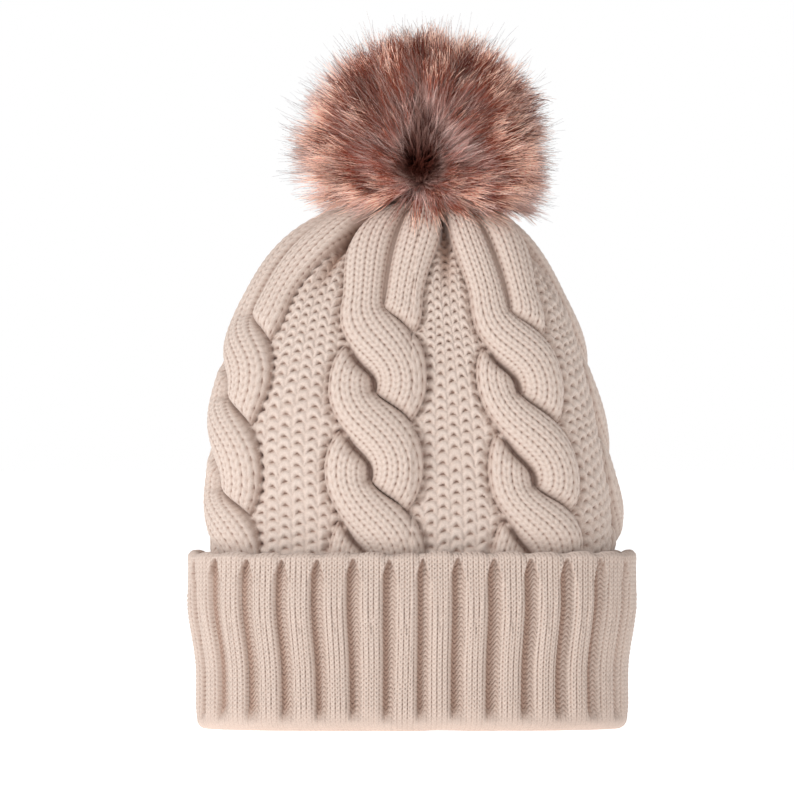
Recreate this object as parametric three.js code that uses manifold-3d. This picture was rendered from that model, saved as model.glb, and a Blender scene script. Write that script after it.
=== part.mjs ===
// Pom pom beanie: a cuffed cable-knit hat with a faux-fur pom on a sew-on snap.
// Millimetres, +Z up. The hat stands on its cuff, crown up, with its front facing -Y.
// The origin is the middle of the rim that it stands on.
import * as THREE from 'three';
import { mergeVertices } from 'three/addons/utils/BufferGeometryUtils.js';
import Module from 'manifold-3d';

const wasm = await Module();
wasm.setup();

// Overall size
const CUFF_WIDTH = 210;
const CUFF_DEPTH = 115;
const CUFF_HEIGHT = 83;
const BODY_WIDTH = 196;
const BODY_DEPTH = 101;
const DOME_APEX_Z = 254; // where the dome would close if the crown were not gathered
const WIDTH_POWER = 0.892; // how bluntly the dome closes from side to side
const DEPTH_POWER = 0.644; // and from front to back: it reaches the crown hole as a circle
const RISE_POWER = 0.769; // how soon the dome starts to turn in
const GAP = 0.3; // clearance between pieces that lie against each other

// Section of the hat: a flattened round, squarer than an ellipse
const SECTION_POWER = 3;
const ROUND_POWER = 2;
const CROWN_LEAN = 8; // the gathered crown and the pom sit this far towards +X

// Knit fabric
const FABRIC = 8.5; // from the inside to the tops of the cables
const CABLE_COUNT = 6;
const FIRST_CABLE_FROM_FRONT = -18; // along the section, from the centre front
const CABLE_RISE = 4.5;
const BODY_BOTTOM_Z = 60; // where the body is knitted onto the inner layer of the cuff
const BODY_SEGMENTS = 60;
const DOME_ROWS = 12;
const HIDDEN_BELOW_CUFF_TOP = 8; // the body is straight up to here, hidden behind the flap
const LEAN_POWER = 6; // how late on its way up the dome starts to lean
const DIMPLE_POWER = 1.5;
const OPEN_RADIUS = 60; // from this half width down, the sections grow rounder to the hole

// Crown
const CROWN_HOLE = 9;
const DIMPLE_DEPTH = 9;
const DIMPLE_RADIUS = 40;

// Cuff
const RIB_COUNT = 32;
const RIB_DEPTH = 2.2;
const FLAP = 6.5;
const INNER_LAYER = 7;
const FOLD_POCKET = 2; // space between the flap and the layer that it is folded over
const FOLD_SEAT = 3; // the fold rounds in by this much at the rim
const POINTS_PER_RIB = 3;
const CUFF_BAND = 8; // smooth band of stitches at the top edge and at the fold
const EDGE_DROP = 2; // how far below the top edge the rounding starts
const EDGE_ROUND = 0.4;
const FOLD_ROUND = 0.6;

// Pom, measured from its own axis
const POM_RADIUS = 56.5;
const POM_TOP_Z = 323;
const POM_EQUATOR_Z = 285;
const POM_MOUTH = 12.5;
const POM_MOUTH_Z = 253.4;
const PILE_SKIRT_RADIUS = 32;
const PILE_SKIRT_Z = 259;
const CORE_CENTRE_Z = 274;
const CORE_RADIUS = 20;
const CORE_HALF_HEIGHT = 14;
const BACKING = 2;
const BACKING_MOUTH = 6.5;
const POM_SIDES = 24;

// Snap and its mounting
const SNAP_Z = 252;
const SNAP_RADIUS = 8.5;
const SNAP_FLANGE = 0.8;
const SNAP_BOSS_RADIUS = 5.5;
const SOCKET_HEIGHT = 3;
const SOCKET_HOLE = 3.1;
const GROOVE_RADIUS = 4.6;
const GROOVE_LOW = 1;
const GROOVE_HIGH = 2.4;
const SPRING_RADIUS = 3.8;
const SPRING_WIRE = 0.4;
const SPRING_SPLIT = 0.35; // radians left open
const STUD_OFFSET = 4.2; // underside of the stud's flange above the socket's underside
const POST_RADIUS = 2.3;
const POST_HEAD = 2.8;
const POST_TIP = 0.6;
const POST_CHAMFER = 0.6;
const STITCH_COUNT = 4;
const STITCH_CIRCLE = 7;
const STITCH_HOLE = 1.1;
const STITCH_LOOP = 1.2;
const STITCH_THREAD = 0.3;
const STITCH_SINK = 0.1; // how far the loop's middle stands inside its own radius from the circle
const STITCH_DRILL = 30;
const SNAP_SIDES = 24;

// Thread stem and patch under the crown
const STEM_RADIUS = 2.2;
const STEM_HEAD = 3.4;
const STEM_TOP_Z = 251;
const STEM_NECK = 2.4; // below the top, where the head starts to flare
const STEM_HEAD_LOW = 1.6;
const STEM_HEAD_HIGH = 0.6;
const KNOT_RADIUS = 3.6;
const KNOT_LOW_Z = 231;
const KNOT_HIGH_Z = 235.4;
const KNOT_BASE = 0.7; // the knot's radius underneath and on top, as shares of its widest
const KNOT_SHOULDER = 0.8;
const PATCH_RADIUS = 15;
const PATCH_LOW_Z = 236.6;
const PATCH = 1.4;
const PATCH_HOLE = 2.8;

// Yarns, threads and label
const DRAW_YARN_CIRCLE = 6.9;
const DRAW_YARN = 1.1;
const DRAW_YARN_Z = 245.6;
const POM_THREAD_CIRCLE = 5.4;
const POM_THREAD = 0.6;
const POM_THREAD_RISE = 1.2; // above the lowest point of the backing's curve
const SEAM_YARN = 1.2;
const SEAM_LOW_Z = 8;
const SEAM_CLEAR = 1; // from the knit's inner face to the yarn
const SEAM_TURN = 12; // below the body's bottom edge, where the yarn starts up the dome
const SEAM_ROWS = 7;
const SEAM_TOP_ROW = 0.72; // how far up the dome the seam yarn runs, 0 to 1
const SEAM_STEPS = 24;
const LABEL_WIDTH = 34;
const LABEL_HEIGHT = 22;
const LABEL_THICK = 0.9;
const LABEL_Z = 30;
const LABEL_CORNER = 2;
const LABEL_CLEAR = 4.5; // in front of the cuff's inner face, past the seam yarn
const BASE_DISC_RADIUS = 8;
const BASE_DISC_THICK = 1.3;
const BASE_DISC_RISE = 0.4;

const material = (colour, roughness, metalness = 0) => (
  new THREE.MeshStandardMaterial({ color: colour, roughness, metalness })
);

const WOOL = material(0xd9c7b8, 0.95);
const WOOL_SHADE = material(0xcdb8a8, 0.95);
const FUR = material(0x9c7468, 0.9);
const FELT = material(0xbfae9f, 1);
const THREAD = material(0xd8cabd, 0.85);
const STEEL = material(0xb9bcc0, 0.3, 1);
const SATIN = material(0xf1ece6, 0.5);
const FIBRE = material(0xf4f2ee, 1);
const CARD_PLASTIC = material(0xe8e4dc, 0.6);

// ---- Sections of the hat ----------------------------------------------------------------

function sectionPower(halfWidth) {
  const openness = THREE.MathUtils.smoothstep(halfWidth, CROWN_HOLE, OPEN_RADIUS);
  return THREE.MathUtils.lerp(ROUND_POWER, SECTION_POWER, openness);
}

function sectionPoint(angle, halfWidth, halfDepth, power) {
  const bend = 2 / power;
  const cosine = Math.cos(angle);
  const sine = Math.sin(angle);
  return new THREE.Vector2(
    halfWidth * Math.sign(cosine) * Math.abs(cosine) ** bend,
    halfDepth * Math.sign(sine) * Math.abs(sine) ** bend,
  );
}

// Angles that space `count` points evenly along a section, starting at the centre front.
function evenAngles(count, halfWidth, halfDepth, power) {
  const fine = 1440;
  const start = -Math.PI / 2;
  const lengths = [0];
  let last = sectionPoint(start, halfWidth, halfDepth, power);
  for (let step = 1; step <= fine; step += 1) {
    const next = sectionPoint(start + (2 * Math.PI * step) / fine, halfWidth, halfDepth, power);
    lengths.push(lengths[step - 1] + next.distanceTo(last));
    last = next;
  }
  const angles = [];
  let step = 0;
  for (let index = 0; index < count; index += 1) {
    const wanted = (lengths[fine] * index) / count;
    while (lengths[step + 1] < wanted) step += 1;
    const part = (wanted - lengths[step]) / (lengths[step + 1] - lengths[step]);
    angles.push(start + (2 * Math.PI * (step + part)) / fine);
  }
  return { angles, perimeter: lengths[fine] };
}

// ---- Solids -----------------------------------------------------------------------------

// One closed body from rings of points: each ring joins the next, and the last joins the first.
function solidOfRings(rings) {
  const sides = rings[0].length;
  const positions = rings.flat().flatMap((point) => [point.x, point.y, point.z]);
  const faces = [];
  for (let row = 0; row < rings.length; row += 1) {
    const nextRow = (row + 1) % rings.length;
    for (let side = 0; side < sides; side += 1) {
      const nextSide = (side + 1) % sides;
      const a = row * sides + side;
      const b = row * sides + nextSide;
      const c = nextRow * sides + nextSide;
      const d = nextRow * sides + side;
      faces.push(a, b, c, a, c, d);
    }
  }
  const geometry = new THREE.BufferGeometry();
  geometry.setAttribute('position', new THREE.Float32BufferAttribute(positions, 3));
  geometry.setIndex(faces);
  geometry.computeVertexNormals();
  return geometry;
}

function turned(profile, sides) {
  const points = profile.map(([radius, z]) => new THREE.Vector2(radius, z));
  return new THREE.LatheGeometry(points, sides).rotateX(Math.PI / 2);
}

function ellipse(radius, halfHeight, centreZ, fromAngle, toAngle, steps) {
  const points = [];
  for (let step = 0; step <= steps; step += 1) {
    const angle = THREE.MathUtils.lerp(fromAngle, toAngle, step / steps);
    points.push([Math.abs(radius * Math.cos(angle)), centreZ + halfHeight * Math.sin(angle)]);
  }
  return points;
}

function cord(points, radius, sides, steps) {
  const ring = [];
  for (let side = 0; side < sides; side += 1) {
    const angle = (2 * Math.PI * side) / sides;
    ring.push(new THREE.Vector2(radius * Math.cos(angle), radius * Math.sin(angle)));
  }
  const path = new THREE.CatmullRomCurve3(points);
  const options = { steps, bevelEnabled: false, extrudePath: path };
  return new THREE.ExtrudeGeometry(new THREE.Shape(ring), options);
}

function toSolid(geometry) {
  const bare = geometry.clone();
  bare.deleteAttribute('normal');
  bare.deleteAttribute('uv');
  const merged = mergeVertices(bare, 1e-4);
  const mesh = new wasm.Mesh({
    numProp: 3,
    vertProperties: new Float32Array(merged.attributes.position.array),
    triVerts: new Uint32Array(merged.index.array),
  });
  return new wasm.Manifold(mesh);
}

function toGeometry(solid) {
  const mesh = solid.getMesh();
  const geometry = new THREE.BufferGeometry();
  geometry.setAttribute('position', new THREE.BufferAttribute(mesh.vertProperties, 3));
  geometry.setIndex(new THREE.BufferAttribute(mesh.triVerts, 1));
  geometry.computeVertexNormals();
  return geometry;
}

// ---- The hat ----------------------------------------------------------------------------

// The body's outline: `row` runs from 0 at the top of the cuff to 1 at the edge of the crown hole.
function domePoint(row) {
  const halfWidth = BODY_WIDTH / 2;
  const closing = Math.acos((CROWN_HOLE / halfWidth) ** (1 / WIDTH_POWER));
  const angle = closing * row;
  const width = halfWidth * Math.cos(angle) ** WIDTH_POWER;
  const depth = (BODY_DEPTH / 2) * Math.cos(angle) ** DEPTH_POWER;
  const rise = Math.sin(angle) ** RISE_POWER;
  const dimple = DIMPLE_DEPTH * Math.max(0, 1 - width / DIMPLE_RADIUS) ** DIMPLE_POWER;
  const z = CUFF_HEIGHT + (DOME_APEX_Z - CUFF_HEIGHT) * rise - dimple;
  return { width, depth, z, lean: CROWN_LEAN * rise ** LEAN_POWER };
}

// The same outline moved in by `inset`, square to the outline.
function insetPoint(row, inset) {
  const nudge = 0.004;
  const here = domePoint(row);
  const before = domePoint(Math.max(0, row - nudge));
  const after = domePoint(Math.min(1, row + nudge));
  const along = new THREE.Vector2(after.width - before.width, after.z - before.z).normalize();
  return {
    width: here.width - inset * along.y,
    depth: here.depth - inset * along.y,
    z: here.z + inset * Math.min(0, along.x),
    lean: here.lean,
  };
}

function cableRise(fraction, perimeter, width) {
  const fromCable = fraction * CABLE_COUNT - (FIRST_CABLE_FROM_FRONT / perimeter) * CABLE_COUNT;
  const swell = (1 + Math.cos(2 * Math.PI * fromCable)) / 2;
  const fading = THREE.MathUtils.smoothstep(width, CROWN_HOLE, DIMPLE_RADIUS);
  return CABLE_RISE * (swell - 1) * fading;
}

function bodyRing({ width, depth, z, lean }, cabled) {
  const power = sectionPower(width);
  const { angles, perimeter } = evenAngles(BODY_SEGMENTS, width, depth, power);
  return angles.map((angle, index) => {
    const rise = cabled ? cableRise(index / BODY_SEGMENTS, perimeter, width) : 0;
    const point = sectionPoint(angle, width + rise, depth + rise, power);
    return new THREE.Vector3(point.x + lean, point.y, z);
  });
}

function knitBody() {
  const straight = { ...domePoint(0), z: BODY_BOTTOM_Z };
  const hiddenZ = CUFF_HEIGHT - HIDDEN_BELOW_CUFF_TOP;
  const outside = [straight, { ...domePoint(0), z: hiddenZ }];
  const inside = [
    { ...insetPoint(0, FABRIC), z: BODY_BOTTOM_Z },
    { ...insetPoint(0, FABRIC), z: hiddenZ },
  ];
  for (let row = 0; row <= DOME_ROWS; row += 1) {
    const part = row / DOME_ROWS;
    outside.push(domePoint(part));
    inside.push(insetPoint(part, FABRIC));
  }
  const outsideRings = outside.map((place) => bodyRing(place, true));
  const insideRings = inside.map((place) => bodyRing(place, false));
  return solidOfRings([...outsideRings, ...insideRings.reverse()]);
}

// One ring of the cuff: `inset` is how far it lies in from the outside of the ribs.
function cuffRing(inset, z, ribbed) {
  const count = RIB_COUNT * POINTS_PER_RIB;
  const halfWidth = CUFF_WIDTH / 2;
  const halfDepth = CUFF_DEPTH / 2;
  const { angles } = evenAngles(count, halfWidth, halfDepth, SECTION_POWER);
  return angles.map((angle, index) => {
    const inGroove = index % POINTS_PER_RIB === 0 && ribbed;
    const depth = inset + (inGroove ? RIB_DEPTH : 0);
    const point = sectionPoint(angle, halfWidth - depth, halfDepth - depth, SECTION_POWER);
    return new THREE.Vector3(point.x, point.y, z);
  });
}

function ribbedCuff() {
  const innerFace = FLAP + FOLD_POCKET + INNER_LAYER;
  const innerTop = BODY_BOTTOM_Z - GAP;
  return solidOfRings([
    cuffRing(FOLD_SEAT, 0, false),
    cuffRing(FOLD_ROUND, FOLD_SEAT, false),
    cuffRing(0, CUFF_BAND, true),
    cuffRing(0, CUFF_HEIGHT - CUFF_BAND, true),
    cuffRing(EDGE_ROUND, CUFF_HEIGHT - EDGE_DROP, false),
    cuffRing(FLAP / 2, CUFF_HEIGHT, false),
    cuffRing(FLAP, CUFF_HEIGHT - EDGE_DROP, false),
    cuffRing(FLAP, CUFF_BAND, false),
    cuffRing(FLAP + FOLD_POCKET, CUFF_BAND, false),
    cuffRing(FLAP + FOLD_POCKET, innerTop, false),
    cuffRing(innerFace, innerTop, false),
    cuffRing(innerFace, FOLD_SEAT, false),
    cuffRing(innerFace - FOLD_SEAT, 0, false),
  ]);
}

function backSeamYarn() {
  const clear = FABRIC + GAP + SEAM_YARN + SEAM_CLEAR;
  const cuffClear = FLAP + FOLD_POCKET + INNER_LAYER + GAP + SEAM_YARN;
  const points = [
    new THREE.Vector3(0, CUFF_DEPTH / 2 - cuffClear, SEAM_LOW_Z),
    new THREE.Vector3(0, CUFF_DEPTH / 2 - cuffClear, BODY_BOTTOM_Z - SEAM_TURN),
  ];
  for (let index = 0; index <= SEAM_ROWS; index += 1) {
    const place = insetPoint((SEAM_TOP_ROW * index) / SEAM_ROWS, clear);
    points.push(new THREE.Vector3(place.lean, place.depth, place.z));
  }
  return cord(points, SEAM_YARN, 8, SEAM_STEPS);
}

function careLabel() {
  const y = CUFF_DEPTH / 2 - FLAP - FOLD_POCKET - INNER_LAYER - LABEL_CLEAR;
  const outline = new THREE.Shape();
  const corner = LABEL_CORNER;
  const right = LABEL_WIDTH / 2;
  outline.moveTo(-right, LABEL_HEIGHT);
  outline.lineTo(-right, corner);
  outline.absarc(-right + corner, corner, corner, Math.PI, 1.5 * Math.PI);
  outline.lineTo(right - corner, 0);
  outline.absarc(right - corner, corner, corner, -Math.PI / 2, 0);
  outline.lineTo(right, LABEL_HEIGHT);
  const options = { depth: LABEL_THICK, bevelEnabled: false, curveSegments: 4 };
  return new THREE.ExtrudeGeometry(outline, options).rotateX(Math.PI / 2).translate(0, y, LABEL_Z);
}

// ---- The snap and its mounting, on the pom's axis ----------------------------------------

function stitchAngle(index) {
  return Math.PI / 4 + (2 * Math.PI * index) / STITCH_COUNT;
}

function withStitchHoles(geometry) {
  let solid = toSolid(geometry);
  for (let index = 0; index < STITCH_COUNT; index += 1) {
    const angle = stitchAngle(index);
    const drill = new THREE.CylinderGeometry(STITCH_HOLE, STITCH_HOLE, STITCH_DRILL, 8);
    drill.rotateX(Math.PI / 2);
    drill.translate(STITCH_CIRCLE * Math.cos(angle), STITCH_CIRCLE * Math.sin(angle), SNAP_Z);
    solid = solid.subtract(toSolid(drill));
  }
  return toGeometry(solid);
}

function snapSocket() {
  const z = SNAP_Z;
  const profile = [
    [SOCKET_HOLE, z],
    [SNAP_RADIUS, z],
    [SNAP_RADIUS, z + SNAP_FLANGE],
    [SNAP_BOSS_RADIUS, z + SNAP_FLANGE],
    [SNAP_BOSS_RADIUS, z + SOCKET_HEIGHT],
    [SOCKET_HOLE, z + SOCKET_HEIGHT],
    [SOCKET_HOLE, z + GROOVE_HIGH],
    [GROOVE_RADIUS, z + GROOVE_HIGH],
    [GROOVE_RADIUS, z + GROOVE_LOW],
    [SOCKET_HOLE, z + GROOVE_LOW],
    [SOCKET_HOLE, z],
  ];
  return withStitchHoles(turned(profile, SNAP_SIDES));
}

function snapStud() {
  const z = SNAP_Z + STUD_OFFSET;
  const profile = [
    [0, SNAP_Z + POST_TIP],
    [POST_HEAD - POST_CHAMFER, SNAP_Z + POST_TIP],
    [POST_HEAD, SNAP_Z + POST_TIP + POST_CHAMFER],
    [POST_RADIUS, SNAP_Z + POST_TIP + 2 * POST_CHAMFER],
    [POST_RADIUS, z],
    [SNAP_RADIUS, z],
    [SNAP_RADIUS, z + SNAP_FLANGE],
    [0, z + SNAP_FLANGE],
  ];
  return withStitchHoles(turned(profile, SNAP_SIDES));
}

function snapSpring() {
  const z = SNAP_Z + (GROOVE_LOW + GROOVE_HIGH) / 2;
  const points = [];
  const steps = 16;
  for (let step = 0; step <= steps; step += 1) {
    const angle = SPRING_SPLIT / 2 + ((2 * Math.PI - SPRING_SPLIT) * step) / steps;
    const x = SPRING_RADIUS * Math.cos(angle);
    points.push(new THREE.Vector3(x, SPRING_RADIUS * Math.sin(angle), z));
  }
  return cord(points, SPRING_WIRE, 6, 20);
}

function stitch(index, flangeMiddle) {
  const angle = stitchAngle(index);
  const middle = STITCH_CIRCLE + STITCH_LOOP - STITCH_SINK;
  const loop = new THREE.TorusGeometry(STITCH_LOOP, STITCH_THREAD, 5, 10).rotateX(Math.PI / 2);
  return loop.translate(middle, 0, flangeMiddle).rotateZ(angle);
}

function ringOfThread(circle, thread, z, steps) {
  return new THREE.TorusGeometry(circle, thread, 8, steps).translate(0, 0, z);
}

function shankThread() {
  return turned([
    [0, KNOT_LOW_Z],
    [KNOT_RADIUS * KNOT_BASE, KNOT_LOW_Z],
    [KNOT_RADIUS, (KNOT_LOW_Z + KNOT_HIGH_Z) / 2],
    [KNOT_RADIUS * KNOT_SHOULDER, KNOT_HIGH_Z],
    [STEM_RADIUS, KNOT_HIGH_Z],
    [STEM_RADIUS, STEM_TOP_Z - STEM_NECK],
    [STEM_HEAD, STEM_TOP_Z - STEM_HEAD_LOW],
    [STEM_HEAD, STEM_TOP_Z - STEM_HEAD_HIGH],
    [STEM_HEAD / 2, STEM_TOP_Z],
    [0, STEM_TOP_Z],
  ], 16);
}

function backingPatch() {
  const top = PATCH_LOW_Z + PATCH;
  return turned([
    [PATCH_HOLE, PATCH_LOW_Z],
    [PATCH_RADIUS, PATCH_LOW_Z],
    [PATCH_RADIUS, top],
    [PATCH_HOLE, top],
    [PATCH_HOLE, PATCH_LOW_Z],
  ], SNAP_SIDES);
}

// ---- The pom, on its own axis ---------------------------------------------------------------

function mouthAngle(mouth, radius) {
  return -Math.acos(mouth / radius);
}

function pomBacking() {
  const inner = CORE_RADIUS - BACKING;
  const innerHalf = CORE_HALF_HEIGHT - BACKING;
  const top = Math.PI / 2;
  const outerMouth = mouthAngle(BACKING_MOUTH, CORE_RADIUS);
  const innerMouth = mouthAngle(BACKING_MOUTH, inner);
  return turned([
    ...ellipse(CORE_RADIUS, CORE_HALF_HEIGHT, CORE_CENTRE_Z, outerMouth, top, 8),
    ...ellipse(inner, innerHalf, CORE_CENTRE_Z, top, innerMouth, 8),
    ellipse(CORE_RADIUS, CORE_HALF_HEIGHT, CORE_CENTRE_Z, outerMouth, top, 8)[0],
  ], POM_SIDES);
}

function pomStuffing() {
  const inset = BACKING + GAP;
  const radius = CORE_RADIUS - inset;
  const half = CORE_HALF_HEIGHT - inset;
  const flatZ = baseDiscZ() + BASE_DISC_THICK + GAP;
  const from = Math.asin((flatZ - CORE_CENTRE_Z) / half);
  const side = ellipse(radius, half, CORE_CENTRE_Z, from, Math.PI / 2, 8);
  return turned([[0, flatZ], ...side.slice(0, -1), [0, CORE_CENTRE_Z + half]], POM_SIDES);
}

// The disc rests inside the mouth of the backing, as low as its curve lets it.
function baseDiscZ() {
  const radius = CORE_RADIUS - BACKING;
  const half = CORE_HALF_HEIGHT - BACKING;
  const drop = half * Math.sqrt(1 - (BASE_DISC_RADIUS / radius) ** 2);
  return CORE_CENTRE_Z - drop + BASE_DISC_RISE;
}

function pomBaseDisc() {
  const z = baseDiscZ();
  return new THREE.CylinderGeometry(BASE_DISC_RADIUS, BASE_DISC_RADIUS, BASE_DISC_THICK, 24)
    .rotateX(Math.PI / 2)
    .translate(0, 0, z + BASE_DISC_THICK / 2);
}

function pomPile() {
  const cavity = CORE_RADIUS + GAP;
  const cavityHalf = CORE_HALF_HEIGHT + GAP;
  const upper = ellipse(POM_RADIUS, POM_TOP_Z - POM_EQUATOR_Z, POM_EQUATOR_Z, 0, Math.PI / 2, 8);
  const skirtRise = POM_EQUATOR_Z - PILE_SKIRT_Z;
  const skirtFlare = POM_RADIUS - PILE_SKIRT_RADIUS;
  const lower = [];
  for (let step = 0; step < 5; step += 1) {
    const angle = (Math.PI / 2) * (step / 5);
    const out = PILE_SKIRT_RADIUS + skirtFlare * Math.sin(angle);
    lower.push([out, POM_EQUATOR_Z - skirtRise * Math.cos(angle)]);
  }
  const inside = ellipse(
    cavity, cavityHalf, CORE_CENTRE_Z, Math.PI / 2, mouthAngle(POM_MOUTH, cavity), 8,
  );
  return turned([
    [0, CORE_CENTRE_Z + cavityHalf],
    ...inside.slice(1),
    [POM_MOUTH, POM_MOUTH_Z],
    ...lower,
    ...upper.slice(0, -1),
    [0, POM_TOP_Z],
  ], POM_SIDES);
}

// ---- Assembly ----------------------------------------------------------------------------------

function named(name, geometry, finish) {
  const mesh = new THREE.Mesh(geometry, finish);
  mesh.name = name;
  return mesh;
}

const beanie = new THREE.Group();
beanie.add(
  named('knit_body', knitBody(), WOOL),
  named('ribbed_cuff', ribbedCuff(), WOOL_SHADE),
  named('back_seam_yarn', backSeamYarn(), WOOL),
  named('care_label', careLabel(), SATIN),
);

const crown = new THREE.Group();
crown.position.x = CROWN_LEAN;
crown.add(
  named('crown_draw_yarn', ringOfThread(DRAW_YARN_CIRCLE, DRAW_YARN, DRAW_YARN_Z, 20), WOOL),
  named('backing_patch', backingPatch(), FELT),
  named('shank_thread', shankThread(), THREAD),
  named('snap_socket', snapSocket(), STEEL),
  named('snap_spring', snapSpring(), STEEL),
);
for (let index = 0; index < STITCH_COUNT; index += 1) {
  const flangeMiddle = SNAP_Z + SNAP_FLANGE / 2;
  crown.add(named(`socket_stitch_${index + 1}`, stitch(index, flangeMiddle), THREAD));
}
beanie.add(crown);

const pom = new THREE.Group();
pom.position.x = CROWN_LEAN;
const pomThreadZ = CORE_CENTRE_Z - CORE_HALF_HEIGHT + POM_THREAD_RISE;
pom.add(
  named('snap_stud', snapStud(), STEEL),
  named('pom_base_disc', pomBaseDisc(), CARD_PLASTIC),
  named('pom_draw_thread', ringOfThread(POM_THREAD_CIRCLE, POM_THREAD, pomThreadZ, 16), THREAD),
  named('pom_stuffing', pomStuffing(), FIBRE),
  named('pom_backing', pomBacking(), FELT),
  named('pom_pile', pomPile(), FUR),
);
for (let index = 0; index < STITCH_COUNT; index += 1) {
  const flangeMiddle = SNAP_Z + STUD_OFFSET + SNAP_FLANGE / 2;
  pom.add(named(`stud_stitch_${index + 1}`, stitch(index, flangeMiddle), THREAD));
}
beanie.add(pom);

export default beanie;
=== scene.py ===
"""Pom pom beanie: the visual model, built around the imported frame. Lengths are in millimetres
until a mesh is made, and the front of the hat faces -Y."""

import math

import bmesh
import bpy
import numpy as np
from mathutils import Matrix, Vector


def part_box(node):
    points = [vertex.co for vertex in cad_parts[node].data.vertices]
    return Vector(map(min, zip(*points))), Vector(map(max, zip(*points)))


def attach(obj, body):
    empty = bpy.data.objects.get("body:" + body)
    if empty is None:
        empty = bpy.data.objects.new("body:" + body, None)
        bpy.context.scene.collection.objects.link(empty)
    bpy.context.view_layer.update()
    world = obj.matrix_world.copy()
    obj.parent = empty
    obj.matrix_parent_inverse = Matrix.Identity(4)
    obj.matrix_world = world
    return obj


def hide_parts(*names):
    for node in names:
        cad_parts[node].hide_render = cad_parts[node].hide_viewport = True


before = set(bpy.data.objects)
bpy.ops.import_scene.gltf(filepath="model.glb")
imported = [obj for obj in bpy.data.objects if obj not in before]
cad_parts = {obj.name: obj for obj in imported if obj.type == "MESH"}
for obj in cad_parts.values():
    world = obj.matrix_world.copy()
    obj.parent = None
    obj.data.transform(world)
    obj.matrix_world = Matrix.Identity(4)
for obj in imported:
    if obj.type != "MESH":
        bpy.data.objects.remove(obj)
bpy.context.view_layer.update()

MM = 0.001
TAU = 2 * math.pi
UP = np.array([0, 0, 1.0])
BAKE_UV = "OFBake"  # the name of the UV map that the meshes are given

# ---- Places and sizes, from the frame


def box_mm(node):
    low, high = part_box(node)
    return np.array(low) / MM, np.array(high) / MM


def box_middle(node):
    return sum(box_mm(node)) / 2


CUFF_LOW, CUFF_HIGH = box_mm("ribbed_cuff")
CUFF_HALF_WIDTH, CUFF_HALF_DEPTH, _ = (CUFF_HIGH - CUFF_LOW) / 2
CUFF_TOP = CUFF_HIGH[2]
BODY_BOTTOM = box_mm("knit_body")[0][2]
POM_X = box_middle("snap_socket")[0]  # the crown leans to one side, and the pom stands over it
AXIS = np.array([POM_X, 0.0, 0.0])

# The dome of the hat, as in part.mjs, measured over the cables
BODY_HALF_WIDTH = 98.0
BODY_HALF_DEPTH = 50.5
DOME_APEX = 254.0
WIDTH_POWER = 0.892
DEPTH_POWER = 0.644
RISE_POWER = 0.769
CROWN_HOLE = 9.0
DIMPLE_DEPTH = 9.0
DIMPLE_RADIUS = 40.0
SECTION_POWER = 3.0
SECTION_STEPS = 1440
INNER_FACE = 10.4  # how far the inner face of the knit lies inside the dome
SHOULDER_DROP = 6.6  # how much more the hat slopes in on its right side
BODY_COLUMNS = 1008
OUTER_ROWS = 2.0  # rows of points for each millimetre of fabric, on the outer face
INNER_ROWS = 1 / 1.1  # and on the inner one
FOLD_DEPTH = 7.5  # of the folds that the gathered crown makes between the cables
SWELL = 1.3

# Cables and moss panels
CABLES = 6
CABLE_SHIFT = -0.036  # the first cable's middle, as a share of the way round from the front
FRONT_GATHER = 0.0885  # how much closer the cables stand at the front than at the back
CABLE_HALF = 24.5
GROUND = 6.6  # how far the moss ground lies inside the dome
STRAND_OFFSET = 12.0
STRAND_SNAP = 0.75  # 0 for an even wave; more makes the strands run straighter and cross quicker
STRAND_HALF = 11.0
STRAND_FLARE = 2.5  # how much wider a strand is where it lies on top
STRAND_HEIGHT = 6.9
STRAND_FLOOR = 0.2
OVER_UNDER = 1.9
LIFT_LEAD = 0.17  # a strand is highest this share of a step below its crossing
CROWN_LIFT = 0.35  # how much of the lift is left above the last crossing
SWAP = 0.7  # how gradually the strands change places, top and under
PRESS_WIDTH = 7.0  # how far from the top strand's edge it presses the other down
SLIT = -2.1  # level of the line where a strand dives under the other
SHALLOW = 1.2  # and of the line between the strands above the last crossing
GAP_FLOOR = 0.6  # level of the ground that shows through that line
SLIT_SHADE, GAP_SHADE = 0.24, 0.45  # painted shade in those places: the share of the colour left, 0 black to 1 unshaded
HIDDEN = -9  # a level below everything that shows
SLIT_WIDTH = (0.2, 1.9)  # where a strand dives under the other, and where it comes out
CROSSING_UP = 16.5  # the lowest crossing in sight, measured up the fabric from the cuff's top
CROSSING_STEP = 41.5
LAST_CROSSING = 2.2
TABLE_STEP = 0.5
STRAND_TABLE = np.arange(-80.0, 320.0, TABLE_STEP)  # heights to measure a strand's length over
LEVELS = np.array([0.0, 1.2, -0.8, 0.9, -1.4, 2.2])  # how far each cable is shifted upwards
MOSS_WIDTH = 28.0
MOSS_COLUMN = 6.2
MOSS_ROW = 5.3
MOSS_HEIGHT = 2.7
VALLEY_WIDTH = 4.5
VALLEY_DEPTH = 2.6
STRAND_WALE = 4.8
ROW_PITCH = 3.3
STITCH_DEPTH = 1.25

# Ribs of the cuff
RIBS = 32
RIB_COLUMNS = 48
RIB_SHIFT = -2.8
RIB_EVENNESS = 0.06
RIDGE_SHARE = 0.32
RIDGE_HEIGHT = 3.9
LEFT_FOOT = 0.35  # how high the ridge's left side runs out into the trough
FLAT_TOP = 0.86  # how full the band above and below the troughs is, as a share of the ridge
CUFF_WALE = 2.65
CUFF_ROW = 2.1
PURL_WALE = 3.2
PURL_PITCH = 2.25
FINE_DEPTH = 1.3
BOTTOM_SLOPE = 3.6  # how far the cuff slopes in towards its fold
INNER_RIB = 1.0  # depth of the valleys between the ribs, inside and underneath


def smoothstep(low, high, value):
    t = np.clip((value - low) / (high - low), 0.0, 1.0)
    return t * t * (3 - 2 * t)


def mix(a, b, share):
    return a + (b - a) * share


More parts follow.
